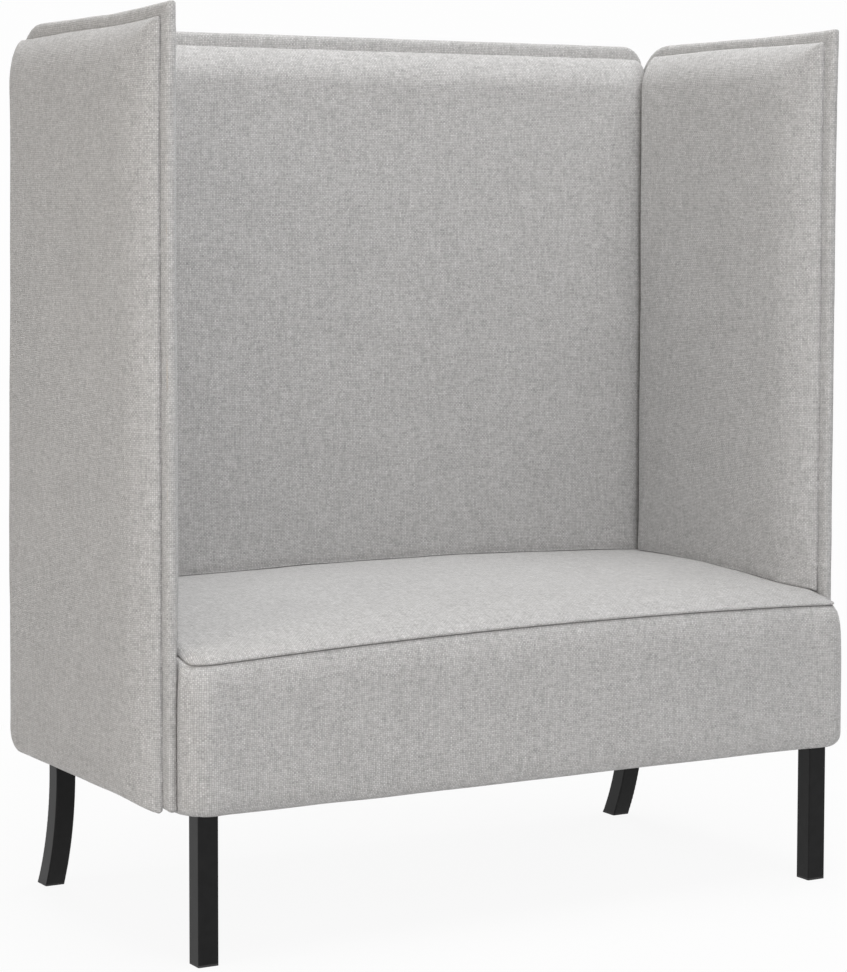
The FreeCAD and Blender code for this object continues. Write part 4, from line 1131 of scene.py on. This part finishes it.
def wood(name, dark, light, ring_scale):
    """Sawn wood with stretched grain."""
    shader = Shader(bpy.data.materials.new(name))
    inputs = {"Vector": shader.place(), "Scale": (1.0, 9.0, 9.0)}
    stretched = shader.add("ShaderNodeMapping", inputs).outputs[0]
    grain = shader.noise(stretched, scale=ring_scale, detail=6.0)
    pores = shader.noise(stretched, scale=ring_scale * 9, detail=3.0)
    mixed = shader.math("ADD", shader.math("MULTIPLY", grain, 0.75), shader.math("MULTIPLY", pores, 0.25))
    shader.set(Base_Color=shader.ramp(mixed, (0.35, dark), (0.65, light)))
    shader.set(Roughness=shader.span(pores, least=0.55, gain=0.3))
    shader.bump(mixed, strength=0.2, distance=0.0004)
    return shader.owner


def steel(name, dark, light, roughness):
    """Drawn or plated steel, with faint streaks."""
    shader = Shader(bpy.data.materials.new(name))
    streaks = shader.noise(shader.place(), scale=260.0, detail=4.0)
    shader.set(Base_Color=shader.ramp(streaks, (0.3, dark), (0.7, light)), Metallic=1.0)
    shader.set(Roughness=shader.span(streaks, least=roughness, gain=0.2))
    shader.bump(streaks, strength=0.1, distance=0.0001)
    return shader.owner


def dust_cloth():
    """Black spun fabric under the seat."""
    shader = Shader(bpy.data.materials.new("black_dust_cloth"))
    place = shader.place()
    fibres = shader.noise(place, scale=420.0, detail=4.0)
    points = shader.add("ShaderNodeTexVoronoi", {"Vector": place, "Scale": 520.0}).outputs["Distance"]
    shader.set(Base_Color=shader.ramp(fibres, (0.3, (0.010, 0.010, 0.010)), (0.75, (0.040, 0.040, 0.042))))
    shader.set(Roughness=0.9, Sheen_Weight=0.15)
    shader.bump(shader.math("ADD", points, fibres), strength=0.3, distance=0.0003)
    return shader.owner


def dress_frame(zinc):
    """Gives the CAD nodes that still show their materials."""
    by_slot = {
        "plywood": wood("birch_plywood", (0.50, 0.35, 0.20), (0.68, 0.52, 0.34), ring_scale=7.0),
        "frame_wood": wood("beech_rails", (0.44, 0.28, 0.15), (0.62, 0.45, 0.27), ring_scale=5.0),
        "leg_steel": powder_coat(),
        "glide_plastic": moulded_plastic(),
        "spring_steel": steel("spring_wire", (0.25, 0.24, 0.23), (0.42, 0.41, 0.39), roughness=0.3),
        "zinc_steel": zinc,
    }
    for entry in frame["record"]["subparts"]:
        node = frame["nodes"][entry["node"]]
        if entry["material_slot"] in by_slot:
            node.data.materials.clear()
            node.data.materials.append(by_slot[entry["material_slot"]])


# Light, floor and camera


def add_lamp(name, place, size, power, colour):
    """A rectangular lamp that looks at the sofa."""
    lamp = bpy.data.lights.new(name, "AREA")
    lamp.shape = "RECTANGLE"
    lamp.size, lamp.size_y = size
    lamp.energy = power
    lamp.color = colour
    holder = bpy.data.objects.new(name, lamp)
    holder.location = place
    holder.rotation_euler = (LAMP_TARGET - Vector(place)).to_track_quat("-Z", "Y").to_euler()
    bpy.context.scene.collection.objects.link(holder)


def light_world():
    """A faint white world, which is plain white where it is seen directly or in a reflection."""
    world = bpy.data.worlds.new("studio")
    bpy.context.scene.world = world
    shader = Shader(world, "Background")
    levels = {"Value": shader.seen(), "To Min": WORLD_LIGHT, "To Max": WHITE}
    strength = shader.add("ShaderNodeMapRange", levels).outputs["Result"]
    shader.set(Color=(1, 1, 1, 1), Strength=strength)


def pale_floor():
    """Pale floor material that keeps a soft shadow near the sofa and fades to the background's white."""
    shader = Shader(bpy.data.materials.new("pale_floor"))
    shader.set(Base_Color=FLOOR_COLOUR, Roughness=0.9, Specular_IOR_Level=0.1)
    near, far = FLOOR_FADE
    reach = {"Value": shader.vector("LENGTH", shader.place()), "From Min": near, "From Max": far}
    away = shader.add("ShaderNodeMapRange", reach).outputs["Result"]
    white = shader.add("ShaderNodeEmission", {"Color": (1, 1, 1, 1), "Strength": WHITE}).outputs[0]
    share = shader.math("MULTIPLY", shader.seen(), shader.span(away, FLOOR_WHITE_NEAR, FLOOR_WHITE_GAIN))
    mixed = shader.add("ShaderNodeMixShader", {0: share, 1: shader.surface.outputs[0], 2: white})
    output = shader.tree.nodes["Material Output"]
    shader.put(output, "Surface", mixed.outputs[0])
    return shader.owner


def add_floor():
    """A wide flat floor under the sofa."""
    mesh = bpy.data.meshes.new("floor")
    half = FLOOR_HALF
    corners = ((-half, -half, 0), (half, -half, 0), (half, half, 0), (-half, half, 0))
    mesh.from_pydata([Vector(corner) for corner in corners], [], [(0, 1, 2, 3)])
    floor = bpy.data.objects.new("floor", mesh)
    bpy.context.scene.collection.objects.link(floor)
    mesh.materials.append(pale_floor())


def add_camera():
    """The camera at the photograph's viewing angle."""
    camera = bpy.data.cameras.new("camera")
    camera.sensor_width = SENSOR
    camera.lens = LENS
    camera.shift_y = SHIFT_PIXELS / PHOTO_HIGH
    camera.clip_start, camera.clip_end = CLIP
    holder = bpy.data.objects.new("camera", camera)
    holder.location = CAMERA_PLACE
    aim = (CAMERA_TARGET - holder.location).to_track_quat("-Z", "Y")
    holder.rotation_euler = (aim @ Quaternion((0, 0, 1), math.radians(CAMERA_ROLL))).to_euler()
    bpy.context.scene.collection.objects.link(holder)
    bpy.context.scene.camera = holder


fabric = woven_fabric()
make_side_cushions(fabric)
make_back_cushions(fabric)
make_flanges(fabric)
make_seat(fabric)
make_dust_cover(dust_cloth())
zinc = steel("zinc_plate", (0.50, 0.50, 0.48), (0.66, 0.66, 0.63), roughness=0.28)
make_staples(zinc)
dress_frame(zinc)
for lamp in LAMPS:
    add_lamp(*lamp)
light_world()
add_floor()
add_camera()
bpy.context.scene.view_settings.view_transform = "Standard"
